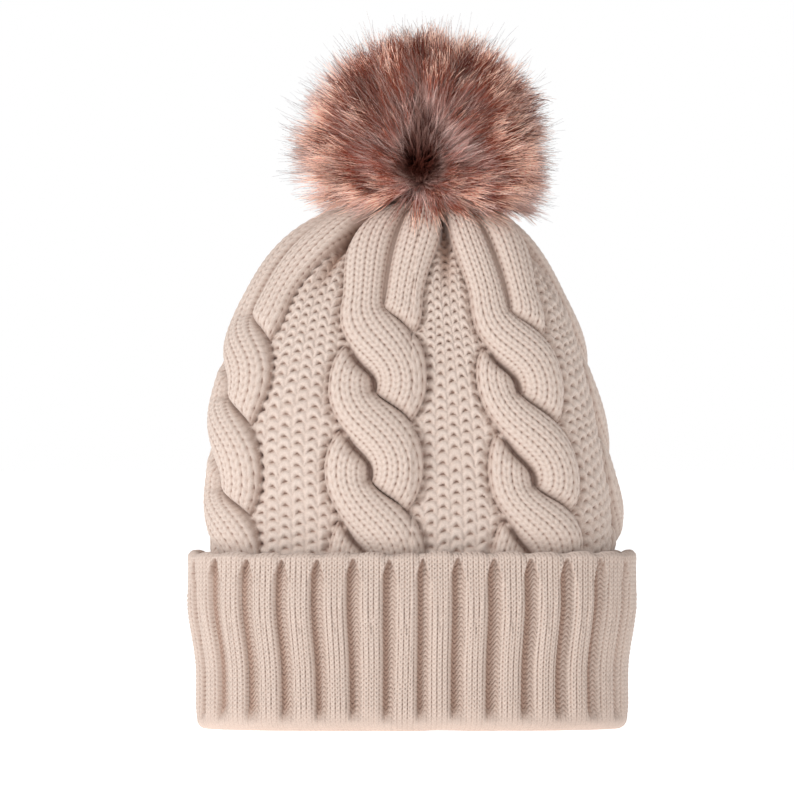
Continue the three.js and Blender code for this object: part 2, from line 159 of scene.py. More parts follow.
def unit(vectors, least=1e-9):
    return vectors / np.maximum(np.linalg.norm(vectors, axis=-1, keepdims=True), least)


def points_at(x, y, z):
    return np.stack(np.broadcast_arrays(x, y, z), -1)


def cumulative(steps):
    return np.concatenate([[0], np.cumsum(steps)])


class Wander:
    """A smooth, repeatable wobble over a flat pattern, about -1 to 1."""

    def __init__(self, seed, size, waves=7):
        pick = np.random.default_rng(seed)
        angle = pick.uniform(0, TAU, waves)
        length = size * pick.uniform(0.7, 1.6, waves)
        self.kx = np.cos(angle) * TAU / length
        self.ky = np.sin(angle) * TAU / length
        self.phase = pick.uniform(0, TAU, waves)
        self.scale = math.sqrt(2 / waves)

    def __call__(self, x, y):
        total = 0
        for kx, ky, phase in zip(self.kx, self.ky, self.phase):
            total = total + np.sin(kx * x + ky * y + phase)
        return total * self.scale


# ---- Meshes


def new_mesh(name, points, faces, point_data=None, uv=None):
    """A smooth-shaded mesh object from points in millimetres and an array of quads."""
    mesh = bpy.data.meshes.new(name)
    quads = np.asarray(faces, np.int32)
    sides = quads.shape[1]
    mesh.vertices.add(len(points))
    mesh.vertices.foreach_set("co", (np.asarray(points, np.float32) * MM).ravel())
    mesh.loops.add(quads.size)
    mesh.loops.foreach_set("vertex_index", quads.ravel())
    mesh.polygons.add(len(quads))
    mesh.polygons.foreach_set("loop_start", np.arange(0, quads.size, sides, dtype=np.int32))
    mesh.polygons.foreach_set("use_smooth", np.ones(len(quads), bool))
    mesh.update(calc_edges=True)
    for key, values in (point_data or {}).items():
        layer = mesh.attributes.new(key, "FLOAT", "POINT")
        layer.data.foreach_set("value", np.asarray(values, np.float32).ravel())
    if uv is not None:
        layer = mesh.uv_layers.new(name=BAKE_UV)
        layer.data.foreach_set("uv", np.asarray(uv, np.float32).ravel())
    obj = bpy.data.objects.new(name, mesh)
    bpy.context.scene.collection.objects.link(obj)
    return obj


def ring_quads(rows, columns, close_rows=False):
    """Quads over a grid whose columns close on themselves, and whose rows may too."""
    row = np.arange(rows if close_rows else rows - 1)[:, None]
    column = np.arange(columns)
    above, after = (row + 1) % rows, (column + 1) % columns
    corners = ((row, column), (row, after), (above, after), (above, column))
    return np.stack([r * columns + c for r, c in corners], -1).reshape(-1, 4)


def ring_uv(rows, columns, close_rows=False):
    """UVs for ring_quads, one per face corner, with no face crossing the seam."""
    last = rows if close_rows else rows - 1
    row, column = np.meshgrid(np.arange(last), np.arange(columns), indexing="ij")
    u0, u1 = column / columns, (column + 1) / columns
    v0, v1 = row / last, (row + 1) / last
    corners = [(u0, v0), (u1, v0), (u1, v1), (u0, v1)]
    return np.stack([np.stack(c, -1) for c in corners], axis=2).reshape(-1, 2)


def ring_mesh(name, grid, data=None, close_rows=True):
    """A mesh over a grid of points, rows x columns x 3, that closes round its columns."""
    shape = (*grid.shape[:2], close_rows)
    return new_mesh(name, grid.reshape(-1, 3), ring_quads(*shape), data, ring_uv(*shape))


def grid_normals(points):
    """Outward unit normals of a grid of points that closes round its columns."""
    across = np.roll(points, -1, axis=1) - np.roll(points, 1, axis=1)
    return unit(np.cross(across, np.gradient(points, axis=0)))


def finish_piece(obj, body, slot_name, *nodes):
    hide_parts(*nodes)
    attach(obj, body)
    return obj


# ---- The hat's section and outline


def section_rows(around, half_width, half_depth, power):
    """Points on each row's section at the given shares of the way round, with its perimeter."""
    angle = -math.pi / 2 + TAU * np.arange(SECTION_STEPS + 1) / SECTION_STEPS
    cosine, sine = np.cos(angle), np.sin(angle)
    rows = []
    for wide, deep, bend in zip(half_width, half_depth, 2 / power):
        x = wide * np.sign(cosine) * np.abs(cosine) ** bend
        y = deep * np.sign(sine) * np.abs(sine) ** bend
        length = cumulative(np.hypot(np.diff(x), np.diff(y)))
        wanted = (around % 1.0) * length[-1]
        rows.append((np.interp(wanted, length, x), np.interp(wanted, length, y), length[-1]))
    return [np.array(values) for values in zip(*rows)]


def dome_outline(row):
    """Half width, half depth, height and lean of the dome at shares of the way to the hole."""
    angle = math.acos((CROWN_HOLE / BODY_HALF_WIDTH) ** (1 / WIDTH_POWER)) * row
    width = BODY_HALF_WIDTH * np.cos(angle) ** WIDTH_POWER
    depth = BODY_HALF_DEPTH * np.cos(angle) ** DEPTH_POWER
    rise = np.sin(angle) ** RISE_POWER
    dimple = DIMPLE_DEPTH * np.maximum(0, 1 - width / DIMPLE_RADIUS) ** 1.5
    height = CUFF_TOP + (DOME_APEX - CUFF_TOP) * rise - dimple
    return width, depth, height, POM_X * rise**6


def outline_by_length(rows_per_mm):
    """The outline from the body's bottom edge to the crown hole, evenly spaced along the
    fabric: half width, half depth, height, lean, and the length up from the cuff's top."""
    width, depth, height, lean = dome_outline(np.linspace(0, 1, 4000))
    length = cumulative(np.hypot(np.diff(height), np.diff(width + depth) / 2))
    below = BODY_BOTTOM - CUFF_TOP
    up = np.linspace(below, length[-1], int((length[-1] - below) * rows_per_mm))
    at = np.clip(up, 0, None)
    width, depth, height, lean = (np.interp(at, length, v) for v in (width, depth, height, lean))
    return width, depth, height + np.minimum(up, 0), lean, up


def dome_grid(around, rows_per_mm):
    """Points over the dome with their outward normals, and each row's perimeter, height and
    length up from the cuff's top."""
    width, depth, height, lean, up = outline_by_length(rows_per_mm)
    x, y, perimeter = section_rows(around, width, depth, outline_power(width))
    points = points_at(x + lean[:, None], y, height[:, None])
    return points, grid_normals(points), perimeter, height, up


def outline_power(width):
    return mix(2.0, SECTION_POWER, smoothstep(CROWN_HOLE, DIMPLE_RADIUS * 1.5, width))


# ---- Stitches

LEG_TILT = math.radians(18)
LEG_LENGTH = 0.84  # half a stitch leg's length, in rows
LEG_WIDTH = 0.27  # half its width, in wales
FINE_LEG_WIDTH = 0.245  # the same on the cuff, which is knitted on finer needles
LEG_PLACE = 0.225  # how far a leg's middle stands from the middle of its wale
GROOVE_WIDTH = 0.1  # half width of the line between two wales, in wales


def plain_stitches(across, along, row_to_wale, leg_width=LEG_WIDTH, groove=0.15):
    """Relief of plain knitting, 0 in the gaps to 1 on the yarn: two slanting legs side by side
    for each unit of `across`, and one such V for each unit of `along`. `groove` is the depth of
    the line between one column and the next."""
    side = np.abs(across - np.floor(across) - 0.5)
    x = side - LEG_PLACE
    best = np.zeros(np.broadcast(across, along).shape)
    row = np.floor(along)
    for step in (-1, 0, 1):
        y = (along - row - step - 0.5) * row_to_wale
        lengthwise = y * math.cos(LEG_TILT) + x * math.sin(LEG_TILT)
        sideways = x * math.cos(LEG_TILT) - y * math.sin(LEG_TILT)
        share = (lengthwise / (LEG_LENGTH * row_to_wale)) ** 2 + (sideways / leg_width) ** 2
        best = np.maximum(best, np.sqrt(np.clip(1 - share, 0, 1)))
    dotted = 0.55 + 0.45 * np.cos(TAU * along)
    return best * (1 - groove * dotted * np.exp(-(((0.5 - side) / GROOVE_WIDTH) ** 2)))


def moss_stitches(across, along):
    """Relief of moss stitch, 0 to 1: columns of small arches, each hung in the legs of the one
    above it, with feet that reach between those of the columns beside it."""
    best = np.zeros(np.broadcast(across, along).shape)
    nearest = np.round(across)
    for offset in (-1, 0, 1):
        column = nearest + offset
        x = across - column + 0.05 * np.sin(column * 3.1 + TAU * along)
        lean = 0.25 * np.sin(column * 2.3 + 0.7 * np.round(along))
        place = along - 0.34 * column
        reach = np.clip(np.abs(x) / 0.60, 0, 1)
        for step in (-1, 0, 1):
            y = place - np.floor(place) - step - 0.45 + lean * x
            arch = 0.22 - 1.9 * x**2
            slope = 3.8 * x
            away = np.abs(y - arch) / np.sqrt(1 + slope**2)
            thick = 0.40 * (1 - 0.30 * reach**2)
            bead = np.sqrt(np.clip(1 - (away / thick) ** 2, 0, 1))
            number = np.floor(place) + step
            size = 0.88 + 0.12 * np.sin(column * 5.1 + number * 7.7 + np.sin(number * 2.9))
            best = np.maximum(best, bead * size * np.sqrt(1 - reach**3))
    return best


def purl_stitches(across, along):
    """Relief of the reverse side, 0 to 1: rows of small interlocking arcs."""
    row = along + 0.36 * np.sin(TAU * (across - np.floor(across)))
    return np.sqrt(np.clip(1 - (2 * (row - np.floor(row)) - 1) ** 2 * 0.98, 0, 1))


# ---- The knitted body


def cable_middles():
    turn = TAU * np.arange(CABLES) / CABLES
    return (turn - FRONT_GATHER * np.sin(turn)) / TAU + CABLE_SHIFT


def panel_middles():
    middles = cable_middles()
    return (middles + np.append(middles[1:], middles[0] + 1)) / 2


def from_nearest(around, middles):
    """How far each place is from the nearest of the middles, as a share of the way round, and
    which one that is."""
    gap = (around[None, :] - middles[:, None] + 0.5) % 1.0 - 0.5
    nearest = np.argmin(np.abs(gap), axis=0)
    return gap[nearest, np.arange(len(around))], nearest


def cable_twist(up):
    """Which crossing a height is at: whole numbers are crossings, and the crown has none."""
    twist = (up - CROSSING_UP) / CROSSING_STEP
    over = np.maximum(twist - LAST_CROSSING, 0)
    return np.where(twist > LAST_CROSSING, LAST_CROSSING + 0.3 * np.tanh(over / 0.3), twist)


def still_crossing(height):
    """1 where the strands still cross each other, falling to 0 in the crown."""
    return smoothstep(LAST_CROSSING + 0.3, LAST_CROSSING - 0.2, cable_twist(height))


def strand_path(height, side):
    """How far a strand of a cable stands to the side of the cable's middle."""
    swing = np.sin(math.pi * cable_twist(height))
    return side * STRAND_OFFSET * np.tanh(STRAND_SNAP * swing) / math.tanh(STRAND_SNAP)


def strand(across, height, side):
    """Where each point is on one strand of a cable: distance from the strand's line, length
    along it, half width, and lift from -1, under the other strand, to 1, over it."""
    nudge = TABLE_STEP
    slope = (strand_path(height + nudge, side) - strand_path(height - nudge, side)) / (2 * nudge)
    foot = height + (across - strand_path(height, side)) * slope / (1 + slope**2)
    slope = (strand_path(foot + nudge, side) - strand_path(foot - nudge, side)) / (2 * nudge)
    dx, dy = across - strand_path(foot, side), height - foot
    offset = (dx - dy * slope) / np.sqrt(1 + slope**2)
    steps = np.hypot(np.gradient(strand_path(STRAND_TABLE, side)), TABLE_STEP)
    along = np.interp(foot, STRAND_TABLE, np.cumsum(steps))
    turn = math.pi * (cable_twist(foot) + LIFT_LEAD)
    lift = -side * np.cos(turn) * mix(CROWN_LIFT, 1, still_crossing(foot))
    half = STRAND_HALF + STRAND_FLARE * np.maximum(lift, 0) ** 2
    return offset, along, half, lift, strand_path(foot, side)


def strand_relief(offset, along, half, lift, puff):
    """Relief of one knitted strand, rounded across, and its painted shade: 1 on the yarn, darker
    down between the stitches and towards the strand's edges.
    """
    share = np.clip(np.abs(offset) / half, 0, 1)
    body = np.sqrt(1 - share**2.3)
    wale = offset / STRAND_WALE
    stitch = plain_stitches(wale, along / ROW_PITCH, ROW_PITCH / STRAND_WALE)
    relief = STRAND_FLOOR + (STRAND_HEIGHT + OVER_UNDER * lift) * body * puff
    relief = relief + STITCH_DEPTH * (stitch - 0.75) * smoothstep(0, 0.5, body)
    # painted shade: darker between the stitches and towards the strand's edges
    return relief, stitch * mix(0.35, 1, smoothstep(0.1, 0.6, body))


def cable_relief(lateral, height, puff):
    """Relief of a whole cable, its painted shade, and the distance outside its edges."""
    strands = [strand(lateral, height, side) for side in (1, -1)]
    outside = [np.abs(one[0]) - one[2] for one in strands]
    shapes = [strand_relief(*one[:4], puff) for one in strands]
    crossing = still_crossing(height)
    first_over = smoothstep(-SWAP, SWAP, strands[0][3] - strands[1][3])
    relief, shade_paint = [], []
    for me, other, over in ((0, 1, first_over), (1, 0, 1 - first_over)):
        slit = mix(*SLIT_WIDTH, smoothstep(2, 11, -strands[me][4])) * crossing
        near = np.clip((outside[other] - slit) / PRESS_WIDTH, 0, 1)
        press = np.sqrt(1 - (1 - near) ** 2)
        pressed = mix(mix(SHALLOW, SLIT, crossing), shapes[me][0], press)
        inside = outside[me] < 0
        relief.append(np.where(inside, mix(pressed, shapes[me][0], over), HIDDEN))
        # painted shade beside the top strand, where the other strand dives under it
        shade = mix(mix(0.5, SLIT_SHADE, crossing), 1, smoothstep(0, 0.8, press))
        shade_paint.append(shapes[me][1] * mix(shade, 1, over))
    first_shows = relief[0] > relief[1]
    return (
        np.where(first_shows, *relief),
        np.where(first_shows, *shade_paint),
        np.minimum(*outside),
    )


def body_relief(around, up, height, perimeter):
    """Height of the knit above the moss ground, and its painted shade, 0 darkest to 1 unshaded."""
    spacing = perimeter / CABLES * mix(1, 1 - FRONT_GATHER, 0.5)
    moss = MOSS_WIDTH * (1 - smoothstep(196, 240, height))
    half = np.clip((spacing - moss) / 2, spacing * 0.3, CABLE_HALF)[:, None]
    scale = half / CABLE_HALF
    gap, cable = from_nearest(around, cable_middles())
    lateral = gap[None, :] * perimeter[:, None]
    rows_up = np.broadcast_to(up[:, None], lateral.shape)
    along_hat = around[None, :] * perimeter[0]
    wobble, drift = Wander(11, 60), Wander(12, 46)
    level = rows_up + LEVELS[cable] + 0.6 * drift(along_hat, rows_up)
    sideways = lateral + 0.7 * wobble(along_hat, rows_up)
    puff = np.clip(scale, 0.25, 1) ** 0.8
    relief, shade_paint, outside = cable_relief(sideways / scale, level, puff)
    outside = outside * scale

    gap, panel = from_nearest(around, panel_middles())
    from_panel = gap[None, :] * perimeter[:, None] + 0.5 * wobble(along_hat, rows_up)
    shrink = mix(0.72, 1, smoothstep(215, 150, height))[:, None]
    rows = (rows_up + 0.5 * drift(along_hat, rows_up)) / (MOSS_ROW * mix(0.8, 1, shrink))
    bead = moss_stitches(from_panel / (MOSS_COLUMN * shrink) + 0.5 * (panel % 2), rows)
    size = mix(0.4, 1, smoothstep(246, 205, height))[:, None]
    near = np.clip(1 - outside / VALLEY_WIDTH, 0, 1) ** 1.5
    rung = 0.5 + 0.5 * np.cos(TAU * rows)
    ground = MOSS_HEIGHT * bead * size * (1 - 0.55 * near) - VALLEY_DEPTH * near * (1 - 0.6 * rung)
    # painted shade on the moss: darker between the beads, down in the valley beside each cable,
    # and darkest in the line between the strands
    ground_shade_paint = mix(0.28, 1, np.sqrt(bead)) * (1 - 0.8 * near * (1 - rung))
    between = smoothstep(15, 10, np.abs(sideways / scale))
    crossing = still_crossing(level)
    ground = mix(ground, mix(GAP_FLOOR, SLIT, crossing), between)
    ground_shade_paint = mix(ground_shade_paint, mix(GAP_SHADE, SLIT_SHADE, crossing), between)
    is_cable = relief > ground
    return np.where(is_cable, relief, ground), np.where(is_cable, shade_paint, ground_shade_paint)


def crown_folds(around, height, perimeter):
    """Depth of the folds that the gathered crown makes between the cables."""
    gap, _ = from_nearest(around, panel_middles())
    distance = np.abs(gap)[None, :] * perimeter[:, None]
    width = mix(4.5, 2.2, smoothstep(200, 245, height))[:, None]
    depth = FOLD_DEPTH * smoothstep(196, 236, height)[:, None]
    near_hole = smoothstep(0.05, 0.16, perimeter / perimeter[0])[:, None]
    return depth * near_hole * np.exp(-((distance / width) ** 2))


def drop_right_shoulder(points):
    """The hat slopes in a little more on its right side, above the middle."""
    above, right = smoothstep(95, 175, points[..., 2]), smoothstep(0, 60, points[..., 0])
    points[..., 0] -= SHOULDER_DROP * above * right
    return points


def make_knit_body():
    around = np.arange(BODY_COLUMNS) / BODY_COLUMNS
    dome, normal, perimeter, height, up = dome_grid(around, OUTER_ROWS)
    around_mm = around * perimeter[0]
    relief, shade_paint = body_relief(around, up, height, perimeter)
    folds = crown_folds(around, height, perimeter)
    near_hole = smoothstep(0.10, 0.42, perimeter / perimeter[0])[:, None]
    up = up[:, None]
    relief = relief * mix(0.55, 1, smoothstep(-3, 9, up)) * mix(0.4, 1, near_hole)
    sink = GROUND * mix(0.45, 1, near_hole)
    swell = SWELL * Wander(21, 150)(around_mm, up) * smoothstep(0, 60, up)
    outer = dome + normal * (relief - sink - folds + swell)[..., None]

    dome, normal, perimeter, height, up = dome_grid(around, INNER_ROWS)
    wrong_side = purl_stitches(around_mm / STRAND_WALE, up[:, None] / ROW_PITCH)
    thick = INNER_FACE + crown_folds(around, height, perimeter) + 0.8 * (wrong_side - 0.7)
    inner = (dome - normal * thick[..., None])[::-1]
    data = {
        # painted shade down between the stitches, on the outer and inner faces
        "painted_crevice_shade": np.concatenate([shade_paint, mix(0.3, 0.95, wrong_side[::-1])]),
        # painted shade in the crown's folds
        "fold": np.concatenate([np.clip(folds / 5.0, 0, 1), np.zeros(wrong_side.shape)]),
    }
    points = drop_right_shoulder(np.concatenate([outer, inner]))
    obj = ring_mesh("cable_knit_body", points, data)
    return finish_piece(obj, "hat", "wool_body", "knit_body")


# ---- The cuff


def cuff_profile():
    """The closed section of the cuff: how far in from the outside, height, and which face it
    is, 1 for the ribs outside, -1 for the inner layer's inside and 0 for the rest."""
    fold, roll, flap, layers = 5.5, 3.2, 6.4, 15.5
    pocket = flap + 1.6  # the inner layer's outer face, behind the gap that the body stands in
    seat, lap = BODY_BOTTOM - 0.6, 12
    parts = []

    def arc(cx, cz, rx, rz, start, end, steps, rib):
        angle = np.linspace(start, end, steps, endpoint=False)
        parts.append((cx - rx * np.cos(angle), cz + rz * np.sin(angle), np.full(steps, rib)))

    def run(x0, x1, z0, z1, steps, rib):
        share = np.linspace(0, 1, steps, endpoint=False)
        parts.append((mix(x0, x1, share), mix(z0, z1, share), np.full(steps, rib)))

    arc(fold, fold, fold, fold, -math.pi / 2, 0, 14, 1)
    run(0, 0, fold, CUFF_TOP - roll, 215, 1)
    arc(roll, CUFF_TOP - roll, roll, roll, 0, math.pi, 22, 1)
    run(flap, flap, CUFF_TOP - roll, lap, 26, 0)
    run(flap, pocket, lap, lap, 2, 0)
    run(pocket, pocket, lap, seat, 10, 0)
    run(pocket, layers, seat, seat, 5, 0)
    run(layers, layers, seat, 4, 60, -1)
    arc(layers - 4, 4, -4, 4, 0, -math.pi / 2, 8, -1)
    run(layers - 4, fold, 0, 0, 14, 0)
    return [np.concatenate(values) for values in zip(*parts)]


def rib_places(around, perimeter):
    """Where each point stands in its rib, -0.5 to 0.5 with the ridge at 0, and its number."""
    turn = around - RIB_SHIFT / perimeter
    ribs = RIBS * (turn + RIB_EVENNESS * np.sin(2 * TAU * turn) / (2 * TAU))
    number = np.round(ribs)
    return ribs - number, number


def cuff_relief(around, height, perimeter):
    """Relief of the ribs, their painted shade, and the painted shadow in their troughs."""
    place, number = rib_places(around[None, :], perimeter)
    height = height[:, None]
    place = place + 0.02 * Wander(31, 90)(number * 17.0, height)
    spread = np.abs(place)
    pitch = perimeter / RIBS
    ridge = np.sqrt(np.clip(1 - (spread / RIDGE_SHARE) ** np.where(place < 0, 2.2, 4), 0, 1))
    foot = LEFT_FOOT * np.clip((place + 0.5) / (0.5 - RIDGE_SHARE), 0, 1) ** 2
    ridge = np.maximum(ridge, np.where(place < 0, foot, 0))
    arch_top = CUFF_TOP - 2.2 - 1.1 * (np.clip(0.5 - spread, 0, 1) * pitch) ** 1.6
    open_trough = smoothstep(0, 2.0, arch_top - height) * smoothstep(3.0, 12.0, height)
    in_trough = smoothstep(RIDGE_SHARE * 0.98, RIDGE_SHARE * 1.08, spread) * open_trough

    across, rows = place * pitch / CUFF_WALE + 0.5, height / CUFF_ROW
    plain = plain_stitches(across, rows, CUFF_ROW / CUFF_WALE, FINE_LEG_WIDTH, 0.4)
    soft = smoothstep(2.0, 13.0, height) * mix(0.45, 1, smoothstep(CUFF_TOP, CUFF_TOP - 7, height))
    plain = mix(0.70, plain, mix(0.25, 1, soft))
    purl = purl_stitches(place * pitch / PURL_WALE, height / PURL_PITCH)
    fine = FINE_DEPTH * mix(plain - 0.8, purl - 0.75, in_trough)
    top = smoothstep(CUFF_TOP - 9, CUFF_TOP - 1, height)
    band = mix(FLAT_TOP, 0.74 + 0.26 * ridge, top)
    relief = RIDGE_HEIGHT * mix(band, ridge, open_trough)
    # painted shade: dark down in the troughs, with a painted shadow strongest just right of each
    # ridge
    on_right = smoothstep(-0.06, 0.06, np.sign(place) * (0.5 - spread))
    shade_paint = mix(plain, 0.05 + 0.7 * purl, in_trough)
    return relief + fine, shade_paint, in_trough * mix(0.25, 1, on_right)


def make_ribbed_cuff():
    columns = RIBS * RIB_COLUMNS
    around = np.arange(columns) / columns
    inset, height, rib = cuff_profile()
    squeeze = BOTTOM_SLOPE * smoothstep(62, 26, height) + 0.35 * np.sin(height / 13.0)
    half_width = CUFF_HALF_WIDTH - squeeze - inset
    half_depth = CUFF_HALF_DEPTH - squeeze * 0.6 - inset
    x, y, _ = section_rows(around, half_width, half_depth, np.full(len(height), SECTION_POWER))
    outermost = np.array([[CUFF_HALF_WIDTH], [CUFF_HALF_DEPTH], [SECTION_POWER]])
    perimeter = section_rows(around, *outermost)[2][0]
    relief, painted_crevice_shade, trough = cuff_relief(around, height, perimeter)
    inset, height, rib = inset[:, None], height[:, None], rib[:, None]

    base = points_at(x, y, height)
    normal = grid_normals(base)
    flat = unit(normal * np.array([1, 1, 0]), 1e-6)
    outside, inside = rib > 0.5, rib < -0.5
    underside = (np.abs(rib) < 0.5) & (height < 1)
    fade = smoothstep(0.0, 5.0, height)
    place, _ = rib_places(around[None, :], perimeter)
    valley = 0.5 - 0.5 * np.cos(TAU * place)
    travel = np.cumsum(np.hypot(np.gradient(inset[:, 0]), np.gradient(height[:, 0])))[:, None]
    wrong_side = purl_stitches(place * 5, travel / PURL_PITCH)
    across = place * perimeter / RIBS / CUFF_WALE + 0.5
    right_side = plain_stitches(across, travel / CUFF_ROW, CUFF_ROW / CUFF_WALE, FINE_LEG_WIDTH)
    push = np.where(outside, (relief - RIDGE_HEIGHT) * mix(0.3, 1, fade), 0)
    push = np.where(inside, (0.9 * (wrong_side - 0.5) - INNER_RIB * valley) * fade, push)
    points = base + np.where((inset < 5)[..., None], normal, flat) * push[..., None]
    points[..., 2] += np.where(underside, INNER_RIB * valley + 0.6 * (1 - right_side), 0)
    points[..., 2] += 0.45 * Wander(33, 40)(around * perimeter, 0)
    points[..., 2] = np.maximum(points[..., 2], 0.02)
    # painted shade between the stitches on the faces inside and underneath
    unseen = mix(0.35, 0.95, np.where(inside, wrong_side, right_side))
    data = {
        "painted_crevice_shade": np.where(outside, painted_crevice_shade, unseen),
        # painted shadow in the troughs outside, and painted shade in the valleys between the ribs
        # inside and underneath
        "fold": np.where(outside, 0.85 * trough, 0.5 * valley),
    }
    obj = ring_mesh("rib_knit_cuff", points, data)
    return finish_piece(obj, "hat", "wool_cuff", "ribbed_cuff")


# ---- Tubes: hairs, threads and cords


def tubes(name, path, radius, tone, shade=None, sides=3):
    """One mesh of thin tubes. `path` is tubes x points x 3, `radius` and `shade` tubes x points,
    and `tone`, 0 to 1, one value for each tube or one for each point."""
    count, steps = path.shape[:2]
    tangent = unit(np.gradient(path, axis=1))
    pick = np.random.default_rng(len(name) * 97 + count)
    reference = unit(pick.normal(size=(count, 1, 3)))
    first = unit(np.cross(tangent, reference))
    second = np.cross(tangent, first)
    angle = (TAU * np.arange(sides) / sides)[:, None]
    spoke = np.cos(angle) * first[:, :, None] + np.sin(angle) * second[:, :, None]
    points = path[:, :, None] + radius[:, :, None, None] * spoke
    start = sides * np.arange(count * steps).reshape(count, steps)[:, :-1, None]
    side = np.arange(sides)
    after = (side + 1) % sides
    faces = np.stack([start + c for c in (side, after, after + sides, side + sides)], -1)
    if shade is None:
        shade = np.broadcast_to(np.linspace(0, 1, steps), (count, steps))
    tones = np.broadcast_to(np.asarray(tone).reshape(count, -1), (count, steps))
    chart = np.stack([tones, shade], -1)
    low, high = chart[:, :-1], chart[:, 1:]
    uv = np.stack([low, low, high, high], axis=2)[:, :, None]
    uv = np.broadcast_to(uv, (count, steps - 1, sides, 4, 2)).reshape(-1, 2)
    data = {"along": np.repeat(shade, sides), "tone": np.repeat(tones, sides)}
    faces, uv = faces.reshape(-1, 4), np.clip(uv, 0.002, 0.998)
    return new_mesh(name, points.reshape(-1, 3), faces, data, uv)


def curve_between(start, bend, end, steps):
    """Smooth curves from start to end, pulled towards bend, each tubes x steps x 3."""
    t = np.linspace(0, 1, steps)[None, :, None]
    start, bend, end = (np.asarray(p, float)[:, None] for p in (start, bend, end))
    return (1 - t) ** 2 * start + 2 * t * (1 - t) * bend + t**2 * end


def threads(name, path, thickness, tone, sides=8):
    return tubes(name, path, np.full(path.shape[:2], thickness), tone, None, sides)


def path_lengths(path):
    return cumulative(np.linalg.norm(np.diff(path, axis=0), axis=1))


def evenly(path, steps):
    """Evenly spaced points along a path, and how far along it each one is."""
    length = path_lengths(path)
    at = np.linspace(0, length[-1], steps)
    return np.stack([np.interp(at, length, path[:, i]) for i in range(3)], -1), at


def cord_piece(name, path, radius, pitch, plies=3, closed=False):
    """A cord of twisted plies that follows `path`."""
    line, at = evenly(path, int(path_lengths(path)[-1] / (pitch / 8)) + 2)
    tangent = unit(np.gradient(line, axis=0))
    across = unit(np.cross(tangent, [0.31, 0.17, 0.93]))
    over = np.cross(tangent, across)
    turns = round(at[-1] / pitch) if closed else at[-1] / pitch
    angle = TAU * turns * at / at[-1]
    lines = []
    for ply in range(plies):
        turn = (angle + TAU * ply / plies)[:, None]
        lines.append(line + 0.5 * radius * (np.cos(turn) * across + np.sin(turn) * over))
    return threads(name, np.array(lines), 0.52 * radius, np.linspace(0.3, 0.7, plies))


# ---- The pom

CORE_CENTRE = np.array([POM_X, 0.0, 274.0])
CORE_RADII = np.array([20.0, 20.0, 14.4])
FAN_CENTRE = np.array([POM_X, 0.0, 262.0])  # the hair fans out from here
# How far the tips reach, in degrees from straight up and millimetres from the fan's centre
ENVELOPE = ((0, 68.5), (30, 69), (60, 67), (80, 64.5), (95, 62), (105, 58), (115, 51), (130, 37))
LOWEST_TIP = math.radians(124)
COMB = math.radians(12)
WHORL = np.array([-0.22, -0.80, -0.56])  # the hair at the front is combed away from here
WHORL_PULL = (0.05, 0.40)  # how far roots stand towards it, on the far side and close to it
PARTING = 0.78  # how far the roots beside the parting stand closer to it than the tips
PARTING_WIDTH = 0.55
PARTING_OPEN = (0.03, 0.20)  # how wide the tips leave it, at the top and at the whorl
CROWN_CLEARANCE = 1.2
CURL = 3.2
CLUMP_LEAN = 0.17
LONG_CLUMPS = 0.7  # the share of clumps that are long
LONG, SHORT = (0.91, 1.0), (0.70, 0.91)
HOLLOW = math.radians(15)  # how far the tips are combed off the whorl
HOLLOW_WIDTH = math.radians(24)
HOLLOW_SIZE = (5.0, 17.0)  # the painted shade in the hollow at the whorl: its heart and its edge
PARTING_RISE = 44.0  # how far the parting's line of painted shade runs up from the whorl
PARTING_TAPER = 0.09  # how narrow it is at the top, as a share
PARTING_DARK = 0.35  # and how deep its painted shade is
RING_SHARE = 0.60  # how much of a hair's colour comes from its place in the pom
TUFT_WAVES = 7
TUFT_PACE = (11.0, 24.0)  # radians of the ball
TUFT_TONE = 0.10
UNDER_TONE = 0.16  # the hair that lies on the crown is this much paler, and low on the sides
LEFT_TONE = 0.10  # and so is the hair on the left
BASE_TONE, CLUMP_TONE, HAIR_TONE = 0.52, 0.25, 0.13
TUFT_TURN = 0.055  # how much sooner or later a tuft changes colour
FRONT_SHADE = 0.38  # at the front the hair's colours are ringed round the whorl, less by depth


def direction(polar, turn):
    return points_at(np.sin(polar) * np.cos(turn), np.sin(polar) * np.sin(turn), np.cos(polar))


def reach(polar):
    """How far the longest hairs reach from the fan's centre, by the angle from straight up."""
    angles, lengths = zip(*ENVELOPE)
    return np.interp(np.degrees(polar), angles, lengths)


def keep_off_crown(path):
    """Hair that would hang into the top of the hat lies on it instead."""
    level = np.full(path.shape[:-1], -1e3)
    width, depth, height, lean = dome_outline(np.linspace(0.25, 1, 70))
    for w, d, z, shift, power in zip(width, depth, height, lean, outline_power(width)):
        x, y = np.abs(path[..., 0] - shift) / w, np.abs(path[..., 1]) / d
        level = np.where(x**power + y**power < 1, np.maximum(level, z), level)
    path[..., 2] = np.maximum(path[..., 2], level + CROWN_CLEARANCE)
    return path


def from_front(turn):
    """How far round from the front, in radians, negative on the left."""
    return (turn + math.pi / 2 + math.pi) % TAU - math.pi


def outline_lumps(polar, turn):
    """The pom's outline is uneven: fuller on the left, flatter on the right, where it hangs
    lower."""
    lumps = 0.035 * np.sin(5 * turn + 2 * np.sin(3 * polar) + 0.6) * np.sin(polar)
    left, right = np.maximum(0, -np.cos(turn)) ** 2, np.maximum(0, np.cos(turn)) ** 2
    fuller = 0.065 * left * smoothstep(0.3, 0.8, polar) * smoothstep(1.95, 1.55, polar)
    droop = 0.16 * right * smoothstep(1.65, 1.95, polar)
    return 1 + (lumps + fuller) + droop - 0.045 * right * smoothstep(0.4, 1.0, polar)


